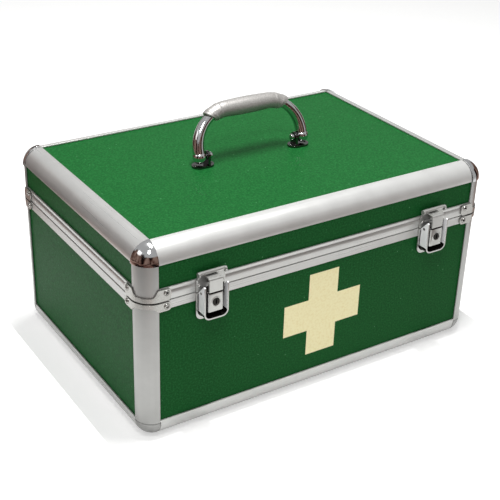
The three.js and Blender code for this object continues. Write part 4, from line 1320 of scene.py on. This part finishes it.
@dataclass
class Boards:
    """The laminate boards with their print, and the felt inside them.

    Args:
        shell: Outer sizes of the case.
        cross: Size of the printed cross.
        cross_arm: Width of its arms.
        cross_centre: Its centre on the front board, as x and z.
        ink: Thickness of the ink.
        ink_rounding: Rounding of its edges.
        felt: Thickness of the felt.
        felt_rounding: Rounding of its edges.
        felt_lap: How far it reaches behind the closing frames.
        air: Gap between the felt and its board.
    """

    shell: Shell
    cross: float = 80 * MM
    cross_arm: float = 30.5 * MM
    cross_centre: tuple[float, float] = (0.5 * MM, 74 * MM)
    ink: float = 0.08 * MM
    ink_rounding: float = 0.03 * MM
    felt: float = 1.2 * MM
    felt_rounding: float = 0.4 * MM
    felt_lap: float = 0.5 * MM
    air: float = 0.1 * MM

    def boards(self) -> None:
        """Gives each board its laminate; their CAD shape is right as it is."""
        for name, node in frame["nodes"].items():
            if name.endswith("_panel"):
                node.data.materials.clear()
                node.data.materials.append(Palette.BOARD.material)

    def cross_print(self) -> None:
        """Builds the printed cross on the front board, arm by arm."""
        a, b = self.cross / 2, self.cross_arm / 2
        x, z = self.cross_centre
        outline = []
        arm = [(-b, -a), (b, -a), (b, -b)]
        for _ in range(4):
            outline += [(x + u, z + v) for u, v in arm]
            arm = [(-v, u) for u, v in arm]
        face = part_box("case_front_panel")[0].y
        draft = Draft().prism(outline, face - self.ink, face + self.ink, FROM_FRONT)
        dress(draft.make("printed_cross", self.ink_rounding), Palette.INK, "case")

    def lining(self, name: str, low: Vector, high: Vector, body: str) -> None:
        """Builds one sheet of felt with softened edges.

        Args:
            name: Name of the object.
            low: Its lowest corner.
            high: Its highest corner.
            body: The body that carries it.
        """
        outline = [(low.x, low.y), (high.x, low.y), (high.x, high.y), (low.x, high.y)]
        draft = Draft().prism(outline, low.z, high.z, FROM_ABOVE)
        dress(draft.make(name, self.felt_rounding), Palette.FELT, body)

    def upright_linings(self) -> None:
        """Builds the felt on the inner face of each side board, between the posts' inner legs."""
        leg = self.shell.radius
        half = (self.shell.width / 2, self.shell.depth / 2)
        heights = {
            "case": (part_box("bottom_rail_front")[1].z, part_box("case_closing_frame")[0].z + self.felt_lap),
            "lid": (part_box("lid_closing_frame")[1].z - self.felt_lap, self.shell.height - leg),
        }
        sides = (("left", Axis.X, -1), ("right", Axis.X, 1), ("front", Axis.Y, -1), ("back", Axis.Y, 1))
        for body, (bottom, top) in heights.items():
            for side, axis, sign in sides:
                across, along = axis.value, 1 - axis.value
                inner = abs(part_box(f"{body}_{side}_panel")[1 if sign < 0 else 0][across]) - self.air
                low, high = Vector((0, 0, bottom)), Vector((0, 0, top))
                low[across], high[across] = sorted((sign * inner, sign * (inner - self.felt)))
                low[along], high[along] = leg - half[along], half[along] - leg
                self.lining(f"{body}_{side}_felt", low, high, body)

    def level_linings(self) -> None:
        """Builds the felt on the floor and under the lid's top, inside the rails."""
        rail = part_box("bottom_rail_front")
        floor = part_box("case_bottom_panel")[1].z + self.air
        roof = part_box("lid_top_panel")[0].z - self.air
        sheets = (
            ("case_floor_felt", rail[1].y - rail[0].y, floor, floor + self.felt, "case"),
            ("lid_roof_felt", self.shell.radius, roof - self.felt, roof, "lid"),
        )
        for name, inset, bottom, top, body in sheets:
            x, y = self.shell.width / 2 - inset, self.shell.depth / 2 - inset
            self.lining(name, Vector((-x, -y, bottom)), Vector((x, y, top)), body)

    def build(self) -> None:
        """Dresses the boards and builds their print and felt."""
        self.boards()
        self.cross_print()
        self.upright_linings()
        self.level_linings()


@dataclass
class Handle:
    """The folding handle: a chrome bow in two feet, with a plastic grip.

    Args:
        shell: Outer sizes of the case.
        span: Distance between the pivots' balls.
        arc_radius: Radius of the bow's middle line.
        leg: Length of the straight part above each pivot.
        foot_radius: Radius of the bow at its feet.
        top_radius: Radius of the bow in the grip.
        top_lead: Angle below the grip at which the bow reaches that radius.
        ball_radius: Radius of the ball at each end.
        pin_radius: Radius of the pin between a ball and its knob.
        knob_radius: Radius of the knob that holds the pin in its foot.
        knob_length: Length of the knob.
        knob_crown: Points of its crown, as shares of its radius and distances from its end.
        ear: Thickness of a foot's ear.
        play: Gap on both sides of the ear.
        grip_ends: Radius of the grip at its ends.
        grip_middle: Radius in its middle.
        shave: How far the round grip stays inside the CAD's many-sided one.
        grip_arc: Angle of the bow's arc that the grip covers.
        slant: Slope of the grip's ends, whose outer side reaches further down.
        slant_reach: Distance from an end over which that slope fades.
        rib: Height of the ribs near the grip's ends.
        rib_place: Distance of the first rib's crest from the end, and half the distance between crests.
        ribbed: Distances from the end between which there are ribs.
        lip: Rounding of the grip's ends.
        bow_rounding: Rounding of the bow's edges.
        foot_rounding: Rounding of the feet's edges.
        sides: Sides round the tube, the grip and the balls.
        pin_sides: Sides round the pins and knobs.
        ball_steps: Chords in a ball's half circle.
        bow_steps: Stations on each of the bow's arcs.
        grip_steps: Stations on each arc of the grip.
        straight_steps: Stations on half of the straight part between them.
    """

    shell: Shell
    span: float = 109 * MM
    arc_radius: float = 33 * MM
    leg: float = 4.3 * MM
    foot_radius: float = 5.5 * MM
    top_radius: float = 4.5 * MM
    top_lead: float = 4
    ball_radius: float = 6.2 * MM
    pin_radius: float = 2 * MM
    knob_radius: float = 3 * MM
    knob_length: float = 2.9 * MM
    knob_crown: tuple[tuple[float, float], ...] = ((0.6, 0.0), (0.9, 0.3 * MM), (1.0, 0.9 * MM))
    ear: float = 2.4 * MM
    play: float = 0.5 * MM
    grip_ends: float = 7 * MM
    grip_middle: float = 8 * MM
    shave: float = 0.08 * MM
    grip_arc: float = 31
    slant: float = 0.42
    slant_reach: float = 10 * MM
    rib: float = 0.28 * MM
    rib_place: float = 3.3 * MM
    ribbed: tuple[float, float] = (1.2 * MM, 11.5 * MM)
    lip: float = 0.9 * MM
    bow_rounding: float = 0.2 * MM
    foot_rounding: float = 0.45 * MM
    sides: int = 40
    pin_sides: int = 28
    ball_steps: int = 20
    bow_steps: int = 24
    grip_steps: int = 36
    straight_steps: int = 6

    @property
    def pivot(self) -> Vector:
        """Gives the middle of the handle's axis, from the record's joint."""
        joint = next(j for j in frame["record"]["behaviour"]["joints"] if j["name"] == "handle_fold")
        return Vector(joint["pos_m"])

    @property
    def lean(self) -> float:
        """Gives the angle that the bow leans back, from where the grip's middle reaches to."""
        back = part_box("handle_grip")[1].y - self.grip_middle
        return math.asin(back / (self.leg + self.arc_radius))

    @property
    def straight(self) -> float:
        """Gives half the length of the straight part between the bow's arcs."""
        return self.span / 2 - self.arc_radius

    def place(self) -> Matrix:
        """Gives the frame of the bow, its third axis pointing up the bow."""
        return Matrix.Translation(self.pivot) @ Matrix.Rotation(-self.lean, 4, "X")

    def line(self, start: float, steps: int) -> list[tuple[Vector, Vector, float]]:
        """Gives stations along the bow from the left to the right.

        Args:
            start: Angle of the left arc at which the stations start.
            steps: Stations on each arc.

        Returns:
            Each station's point, its direction, and its distance from the bow's middle.
        """
        left = []
        for i in range(steps + 1):
            turn = math.radians(start + (90 - start) * i / steps)
            x = self.straight + self.arc_radius * math.cos(turn)
            z = self.leg + self.arc_radius * math.sin(turn)
            away = self.straight + (math.pi / 2 - turn) * self.arc_radius
            left.append((Vector((-x, 0, z)), Vector((math.sin(turn), 0, math.cos(turn))), away))
        for i in range(1, self.straight_steps):
            x = -self.straight * (1 - i / self.straight_steps)
            left.append((Vector((x, 0, self.leg + self.arc_radius)), Vector((1, 0, 0)), -x))
        right = [(Vector((-p.x, 0, p.z)), Vector((d.x, 0, -d.z)), away) for p, d, away in reversed(left)]
        return left + right

    def ring(self, point: Vector, along: Vector, radius: float, slant: float = 0.0) -> list[Vector]:
        """Gives a circle square to a direction or slanted along it, in the row frame.

        Args:
            point: Its middle, in the bow's frame.
            along: The direction, in the bow's frame.
            radius: Its radius.
            slant: Slope by which it leans along the direction.

        Returns:
            Its points.
        """
        side = Vector((0, 1, 0))
        normal = side.cross(along)
        place = self.place()
        turns = circle(radius, self.sides)
        return [place @ (point + side * a - normal * b + along * slant * b) for a, b in turns]

    def end(self, draft: Draft, sign: int) -> None:
        """Adds the ball, the pin and the knob at one end of the bow.

        Args:
            draft: The bow.
            sign: Sign of the end's x.
        """
        x, knob = self.span / 2, self.knob_radius
        knob_face = x - self.ball_radius - self.play - self.ear - self.play
        back = knob_face - self.knob_length
        axes = self.place() @ facing(Vector(), Vector((sign, 0, 0)), UP)
        ball = arc(x, 0, self.ball_radius, 180, 0, self.ball_steps)
        draft.turned([(b, a) for a, b in ball], axes, self.sides)
        crown = [(knob * share, back + rise) for share, rise in self.knob_crown]
        pin = [(self.pin_radius, knob_face), (self.pin_radius, x), (0, x)]
        draft.turned([(0, back), *crown, (knob, knob_face), *pin], axes, self.pin_sides)

    def bow(self) -> None:
        """Builds the bow, thinner in the grip than at its feet, with its ends."""
        quarter = math.pi / 2 * self.arc_radius
        covered = math.radians(self.grip_arc + self.top_lead) * self.arc_radius
        x = self.span / 2
        rings = [self.ring(Vector((-x, 0, self.leg * s)), UP, self.foot_radius) for s in (0, 0.5)]
        for point, along, away in self.line(0, self.bow_steps):
            share = min(max((away - self.straight - covered) / (quarter - covered), 0), 1)
            radius = self.top_radius + (self.foot_radius - self.top_radius) * share
            rings.append(self.ring(point, along, radius))
        rings += [self.ring(Vector((x, 0, self.leg * s)), -UP, self.foot_radius) for s in (0.5, 0)]
        draft = Draft().skin(rings)
        for sign in (-1, 1):
            self.end(draft, sign)
        bow = draft.make("handle_bow_tube", self.bow_rounding)
        dress(bow, Palette.CHROME, "handle", ["handle_bow"])

    def grip(self) -> None:
        """Builds the grip: thick in the middle, ribbed near its slanted and rounded ends."""
        reach = self.straight + math.radians(self.grip_arc) * self.arc_radius
        outer, inner = [], []
        for point, along, away in self.line(90 - self.grip_arc, self.grip_steps):
            swell = 0.5 * (1 + math.cos(math.pi * away / reach))
            body = self.grip_ends + (self.grip_middle - self.grip_ends) * swell
            from_end = reach - away
            wave = math.cos(math.pi * (from_end - self.rib_place) / self.rib_place)
            rib = self.rib * max(wave, 0) if self.ribbed[0] < from_end < self.ribbed[1] else 0
            share = min(from_end / self.lip, 1)
            trim = self.lip * (1 - math.sqrt(max(1 - (1 - share) ** 2, 0)))
            slant = math.copysign(self.slant * max(1 - from_end / self.slant_reach, 0), point.x)
            outer.append(self.ring(point, along, body + rib - trim - self.shave, slant))
            inner.append(self.ring(point, along, self.top_radius + self.shell.gap, slant))
        grip = Draft().skin(outer + inner[::-1], closed=True).make("handle_grip_sleeve", 0)
        dress(grip, Palette.GRIP, "handle", ["handle_grip"])

    def build(self) -> None:
        """Builds the bow, the grip and the feet."""
        self.bow()
        self.grip()
        for side in ("left", "right"):
            node = f"handle_foot_{side}"
            foot = refined(node, f"{node}_casting", self.foot_rounding)
            # The feet's dark chrome is painted reflection
            dress(foot, Palette.PAINTED_DARK_CHROME, "lid", [node])


@dataclass
class DrawLatches:
    """The two draw latches with their locks, and the strikers on the lid.

    Args:
        shell: Outer sizes of the case.
        ring: Inner and outer radius of the bright ring round a lock, and its height.
        ring_foot: How deep the ring sits in the lever.
        ring_edge: Height of its inner edge, as a share of its own.
        ring_crest: Where its crest lies, as a share of the way out.
        ring_sides: Sides round it.
        plate: Thickness of the base's plate.
        cup: Half the width of the cup that stands on it.
        cup_foot: Distance of the cup's lower edge from the plate's.
        cup_radius: Rounding of its lower corners.
        cup_clear: Distance from the plate beyond which a face belongs to the cup.
        seam: Width of the painted shade line round the cup's foot.
        floor_top: How far the cup's sheet of painted shade ends below the lower frame's tongue.
        floor_thickness: Half the thickness of that floor.
        steps: Chords in each of the floor's round corners.
        claw: Half the width of the claw's bright plate, beyond which its arms get painted shade.
        lever_edge: Height of the lever's top edge that gets painted shade.
        flank: Sideways share of its normal above which a face is a flank.
        ear_slope: Upward share above which a face of the cup is the top of an ear.
        sill_slope: Upward or downward share above which it is the sill or a round lower corner.
        corner_turn: Sideways share that a round lower corner has as well.
        edge_slope: Upward share above which a face of the lever is its top edge.
        rounding: Rounding of the pressings' edges.
        claw_rounding: Rounding of the claw's.
        lock_rounding: Rounding of the lock's.
    """

    shell: Shell
    ring: tuple[float, float, float] = (3.45 * MM, 4.5 * MM, 0.35 * MM)
    ring_foot: float = 0.3 * MM
    ring_edge: float = 0.7
    ring_crest: float = 0.4
    ring_sides: int = 32
    plate: float = 1 * MM
    cup: float = 11.2 * MM
    cup_foot: float = 3 * MM
    cup_radius: float = 5.5 * MM
    cup_clear: float = 0.5 * MM
    seam: float = 0.9 * MM
    floor_top: float = 3.4 * MM
    floor_thickness: float = 0.12 * MM
    steps: int = 8
    claw: float = 6.3 * MM
    lever_edge: float = 4 * MM
    flank: float = 0.9
    ear_slope: float = 0.3
    sill_slope: float = 0.12
    corner_turn: float = 0.1
    edge_slope: float = 0.5
    rounding: float = 0.25 * MM
    claw_rounding: float = 0.2 * MM
    lock_rounding: float = 0.15 * MM

    @property
    def plate_face(self) -> float:
        """Gives the y of the base plate's front face."""
        return -self.shell.depth / 2 - self.shell.gap - self.plate

    def lock_ring(self, side: str) -> None:
        """Builds the pressed ring round a lock's face.

        Args:
            side: The latch's side, left or right.
        """
        inner, outer, height = self.ring
        low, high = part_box(f"lock_cylinder_{side}")
        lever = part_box(f"latch_lever_{side}")[0].y
        radius = (high.z - low.z) / 2
        axes = facing(Vector((low.x + radius, lever, low.z + radius)), Vector((0, -1, 0)), UP)
        crest = inner * (1 - self.ring_crest) + outer * self.ring_crest
        foot = -self.ring_foot
        inside = [(inner, foot), (inner, height * self.ring_edge)]
        profile = [*inside, (crest, height), (outer, 0.0), (outer, foot)]
        rings = [[axes @ Vector((a, b, z)) for a, b in circle(r, self.ring_sides)] for r, z in profile]
        ring = Draft().skin(rings, closed=True).make(f"lock_ring_{side}", 0)
        dress(ring, Palette.LATCH, f"lever_{side}")

    def floor(self, side: str) -> None:
        """Builds a sheet of painted shade in the cup, which shows as a fine painted shade line round its foot
        too.

        Args:
            side: The latch's side, left or right.
        """
        low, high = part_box(f"latch_base_{side}")
        middle = (low.x + high.x) / 2
        half = self.cup + self.seam
        bottom = low.z + self.cup_foot - self.seam
        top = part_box("case_closing_frame")[1].z - self.floor_top
        r = self.cup_radius + self.seam
        left = [(middle - half, top), *arc(middle - half + r, bottom + r, r, 180, 270, self.steps)]
        right = [*arc(middle + half - r, bottom + r, r, 270, 360, self.steps), (middle + half, top)]
        back, front = self.plate_face - self.floor_thickness, self.plate_face + self.floor_thickness
        # A dark sheet where there is only shade: painted shade
        floor = Draft().prism(left + right, back, front, FROM_FRONT).make(f"latch_shade_floor_{side}", 0)
        dress(floor, Palette.PAINTED_SHADE, "case")

    def shade_base(self, base: Piece, side: str) -> None:
        """Paints light on the cup's sides and ears, and shade on its round lower corners and its sill.

        Args:
            base: The base.
            side: The latch's side, left or right.
        """
        cup_start = self.plate_face - self.cup_clear
        round_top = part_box(f"latch_base_{side}")[0].z + self.cup_foot + self.cup_radius

        def pale(face: Face) -> bool:
            """Tells whether a face is a side of the cup or the top of an ear, which get painted light.

            Args:
                face: The face.

            Returns:
                Whether it is one.
            """
            upright = abs(face.normal.x) > self.flank
            ear_top = face.normal.z > self.ear_slope and face.center.z > round_top
            return face.center.y < cup_start and (upright or ear_top)

        def dark(face: Face) -> bool:
            """Tells whether a face is a round lower corner of the cup or its sill, which get painted shade.

            Args:
                face: The face.

            Returns:
                Whether it is one.
            """
            sill = face.normal.z > self.sill_slope
            corner = face.normal.z < -self.sill_slope and abs(face.normal.x) > self.corner_turn
            return face.center.y < cup_start and face.center.z < round_top and (sill or corner)

        refinish(base, Palette.PAINTED_LIGHT_LATCH, pale)
        refinish(base, Palette.PAINTED_SHADE, dark)

    def shade_lever(self, lever: Piece, side: str) -> None:
        """Paints shade on the lever's flanks and its top edge, where the claw and the cup shade them.

        Args:
            lever: The lever.
            side: The latch's side, left or right.
        """
        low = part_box(f"latch_lever_{side}")[1].z - self.lever_edge
        refinish(lever, Palette.PAINTED_DARK_CHROME, lambda face: abs(face.normal.x) > self.flank)
        refinish(lever, Palette.PAINTED_SHADE, lambda face: face.normal.z > self.edge_slope and face.center.z > low)

    def shade_claw(self, claw: Piece) -> None:
        """Gives the claw's arms painted shade: a dull dark face.

        Args:
            claw: The claw.
        """
        xs = [vertex.co.x for vertex in claw.data.vertices]
        middle = (min(xs) + max(xs)) / 2
        refinish(claw, Palette.PAINTED_SHADE, lambda face: abs(face.center.x - middle) > self.claw)

    def build(self) -> None:
        """Builds both latches."""
        for side in ("left", "right"):
            parts = {
                "latch_base": ("case", self.rounding),
                "latch_lever": (f"lever_{side}", self.rounding),
                "latch_striker": ("lid", self.rounding),
                "latch_claw": (f"claw_{side}", self.claw_rounding),
            }
            made = {}
            for part, (body, rounding) in parts.items():
                node = f"{part}_{side}"
                made[part] = refined(node, f"{node}_pressing", rounding)
                dress(made[part], Palette.LATCH, body, [node])
            self.shade_base(made["latch_base"], side)
            self.shade_lever(made["latch_lever"], side)
            self.shade_claw(made["latch_claw"])
            node = f"lock_cylinder_{side}"
            lock = refined(node, f"{node}_casting", self.lock_rounding)
            # The lock's dark face is painted shade
            dress(lock, Palette.SHADED_LOCK, f"cylinder_{side}", [node])
            self.lock_ring(side)
            self.floor(side)


@dataclass
class RearHinge:
    """The long hinge at the back, with its two stop ears.

    Args:
        rounding: Rounding of its edges.
    """

    rounding: float = 0.15 * MM

    def build(self) -> None:
        """Builds both leaves."""
        for body in ("case", "lid"):
            node = f"hinge_{body}_leaf"
            leaf = refined(node, f"{node}_pressing", self.rounding)
            dress(leaf, Palette.HINGE, body, [node])


# The studio


@dataclass(frozen=True)
class Lamp:
    """A soft lamp with an oblong face.

    Args:
        name: Its name.
        place: Where it hangs.
        width: Width of its face.
        length: Length of its face.
        watts: Its power.
    """

    name: str
    place: tuple[float, float, float]
    width: float
    length: float
    watts: float

    def hang(self, target: Vector) -> None:
        """Adds the lamp to the scene, pointed at a target.

        Args:
            target: The target.
        """
        data = bpy.data.lights.new(self.name, "AREA")
        data.shape = "RECTANGLE"
        data.size = self.width
        data.size_y = self.length
        data.energy = self.watts
        lamp = bpy.data.objects.new(self.name, data)
        lamp.location = self.place
        lamp.rotation_euler = (Vector(self.place) - target).to_track_quat("Z", "Y").to_euler()
        bpy.context.scene.collection.objects.link(lamp)


@dataclass(frozen=True)
class FeltScreen:
    """Brown felt on an arc round the table that only shows as a reflection, so that chrome reads as chrome.

    Args:
        name: Its name.
        start: Direction of its first edge in degrees, 0 being the front and 90 the right.
        end: Direction of its other edge.
        height: Height of its top.
        lift: Height of its lower edge, if it hangs free; otherwise felt lies on the table before it too.
        near: Distance from the case's middle at which the felt on the table starts.
        far: Distance at which the upright felt stands.
        cloth: Thickness of the felt on the table.
        wall: Thickness of the upright felt.
        steps: Chords in the arc.
    """

    name: str
    start: float
    end: float
    height: float
    lift: float = 0.0
    near: float = 420 * MM
    far: float = 1450 * MM
    cloth: float = 0.2 * MM
    wall: float = 5 * MM
    steps: int = 24

    @property
    def profile(self) -> Section:
        """Gives its section as (distance from the case's middle, height).

        Returns:
            Its points, the upright felt's face before its back.
        """
        back = self.far + self.wall
        if self.lift:
            return [(self.far, self.lift), (self.far, self.height), (back, self.height), (back, self.lift)]
        foot = [(self.near, 0.0), (self.near, self.cloth), (self.far, self.cloth)]
        return [*foot, (self.far, self.height), (back, self.height), (back, 0.0)]

    def set_up(self) -> None:
        """Builds the screen and hides it from everything but reflections."""
        rings = []
        for i in range(self.steps + 1):
            angle = math.radians(self.start + (self.end - self.start) * i / self.steps)
            out = Vector((math.sin(angle), -math.cos(angle), 0))
            rings.append([out * distance + Vector((0, 0, height)) for distance, height in self.profile])
        screen = Draft().skin(rings).make(self.name, 0)
        screen.data.materials.append(Palette.CARD.material)
        screen.visible_camera = False
        screen.visible_diffuse = False
        screen.visible_shadow = False
        screen.visible_transmission = False


@dataclass
class Studio:
    """A white sweep, soft lamps, felt screens and the camera at the photograph's place.

    Args:
        azimuth: The camera's turn round the case in degrees.
        elevation: Its height angle in degrees.
        roll: Its roll in degrees.
        distance: Its distance from the case's foot along its view.
        across: How far it stands to its own right.
        above: How far it stands above that line.
        drop: How far the case's foot lies above the point that it is aimed from.
        focal_pixels: Its focal length in pixels of the frame.
        frame_pixels: Width of the frame in pixels.
        sensor: Width of its sensor in millimetres.
        near_limit: Nearest distance that it sees.
        fill: Strength of the even light from all round.
        ceiling: Brightness of the room that metal reflects.
        aim: Height of the point that the lamps are pointed at.
        lamps: The lamps.
        screens: The felt screens, which leave a gap at the right of the front.
        paper: Half the width of the paper.
        paper_gap: How far it lies below the case.
        paper_thickness: Its thickness.
    """

    azimuth: float = -33.41
    elevation: float = 27.94
    roll: float = 1.88
    distance: float = 1061.6 * MM
    across: float = 3.8 * MM
    above: float = 71.1 * MM
    drop: float = 1.2 * MM
    focal_pixels: float = 1083.0
    frame_pixels: float = 500.0
    sensor: float = 36.0
    near_limit: float = 50 * MM
    fill: float = 0.32
    ceiling: float = 0.52
    aim: float = 90 * MM
    lamps: tuple[Lamp, ...] = (
        Lamp("overhead_softbox", (0, -0.02, 1.3), 8.2633 * MM, 500 * MM, 21),
        Lamp("front_softbox", (-0.386, -0.594, 1.09), 173.416 * MM, 300 * MM, 4),
        Lamp("left_softbox", (-1.4, 0.1, 0.9), 692.895 * MM, 800 * MM, 2.5),
    )
    screens: tuple[FeltScreen, ...] = (
        FeltScreen("rear_left_felt", -165, -125, 700 * MM),
        FeltScreen("left_felt", -125, -58, 1190 * MM),
        FeltScreen("front_felt", -58, 42, 875 * MM),
        FeltScreen("right_felt", 66, 110, 700 * MM),
        FeltScreen("back_felt", 160, 190, 700 * MM, lift=200 * MM),
    )
    paper: float = 4.0
    paper_gap: float = 0.5 * MM
    paper_thickness: float = 2 * MM

    def camera(self) -> None:
        """Places the camera, which the fit to the photograph's box gave."""
        az, el, roll = (math.radians(a) for a in (self.azimuth, self.elevation, self.roll))
        back = Vector((math.sin(az) * math.cos(el), -math.cos(az) * math.cos(el), math.sin(el)))
        level = Vector((math.cos(az), math.sin(az), 0))
        upright = back.cross(level)
        right = math.cos(roll) * level + math.sin(roll) * upright
        up = -math.sin(roll) * level + math.cos(roll) * upright
        eye = right * self.across + up * self.above + back * self.distance - UP * self.drop
        data = bpy.data.cameras.new("camera")
        data.sensor_width = self.sensor
        data.lens = self.focal_pixels * self.sensor / self.frame_pixels
        data.clip_start = self.near_limit
        camera = bpy.data.objects.new("camera", data)
        camera.matrix_world = Matrix.Translation(eye) @ Matrix((right, up, back)).transposed().to_4x4()
        bpy.context.scene.collection.objects.link(camera)
        bpy.context.scene.camera = camera

    def sweep(self) -> None:
        """Lays the white paper that the case stands on."""
        half, top = self.paper, -self.paper_gap
        outline = [(-half, -half), (half, -half), (half, half), (-half, half)]
        floor = Draft().prism(outline, top - self.paper_thickness, top, FROM_ABOVE).make("studio_paper", 0)
        floor.data.materials.append(Palette.PAPER.material)

    def world(self) -> None:
        """Fills the shadows with even light, and shows white to the camera and pale grey in metal."""
        world = bpy.data.worlds.new("studio_world")
        world.use_nodes = True
        tree = world.node_tree
        background = tree.nodes["Background"]
        background.inputs["Color"].default_value = linear("#ffffff")
        seen = seen_directly(tree, 1 - self.fill, self.ceiling - self.fill)
        total = add_node(tree, "ShaderNodeMath", {"operation": "ADD", 1: self.fill}, {0: seen})
        tree.links.new(total.outputs["Value"], background.inputs["Strength"])
        bpy.context.scene.world = world

    def build(self) -> None:
        """Sets up the whole studio."""
        bpy.context.scene.view_settings.view_transform = "Standard"
        self.camera()
        for lamp in self.lamps:
            lamp.hang(UP * self.aim)
        for screen in self.screens:
            screen.set_up()
        self.sweep()
        self.world()


def main() -> None:
    logging.basicConfig(level=logging.INFO, format="%(name)s: %(message)s")
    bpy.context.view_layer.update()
    shell = Shell.from_frame()
    parts = (
        EdgeRails(shell),
        CornerCaps(shell),
        ClosingFrames(shell),
        CornerClamps(shell),
        Boards(shell),
        Handle(shell),
        DrawLatches(shell),
        RearHinge(),
        Studio(),
    )
    for part in parts:
        before = len(bpy.data.objects)
        part.build()
        LOG.info("%s: %d objects", type(part).__name__, len(bpy.data.objects) - before)


if __name__ == "__main__":
    main()
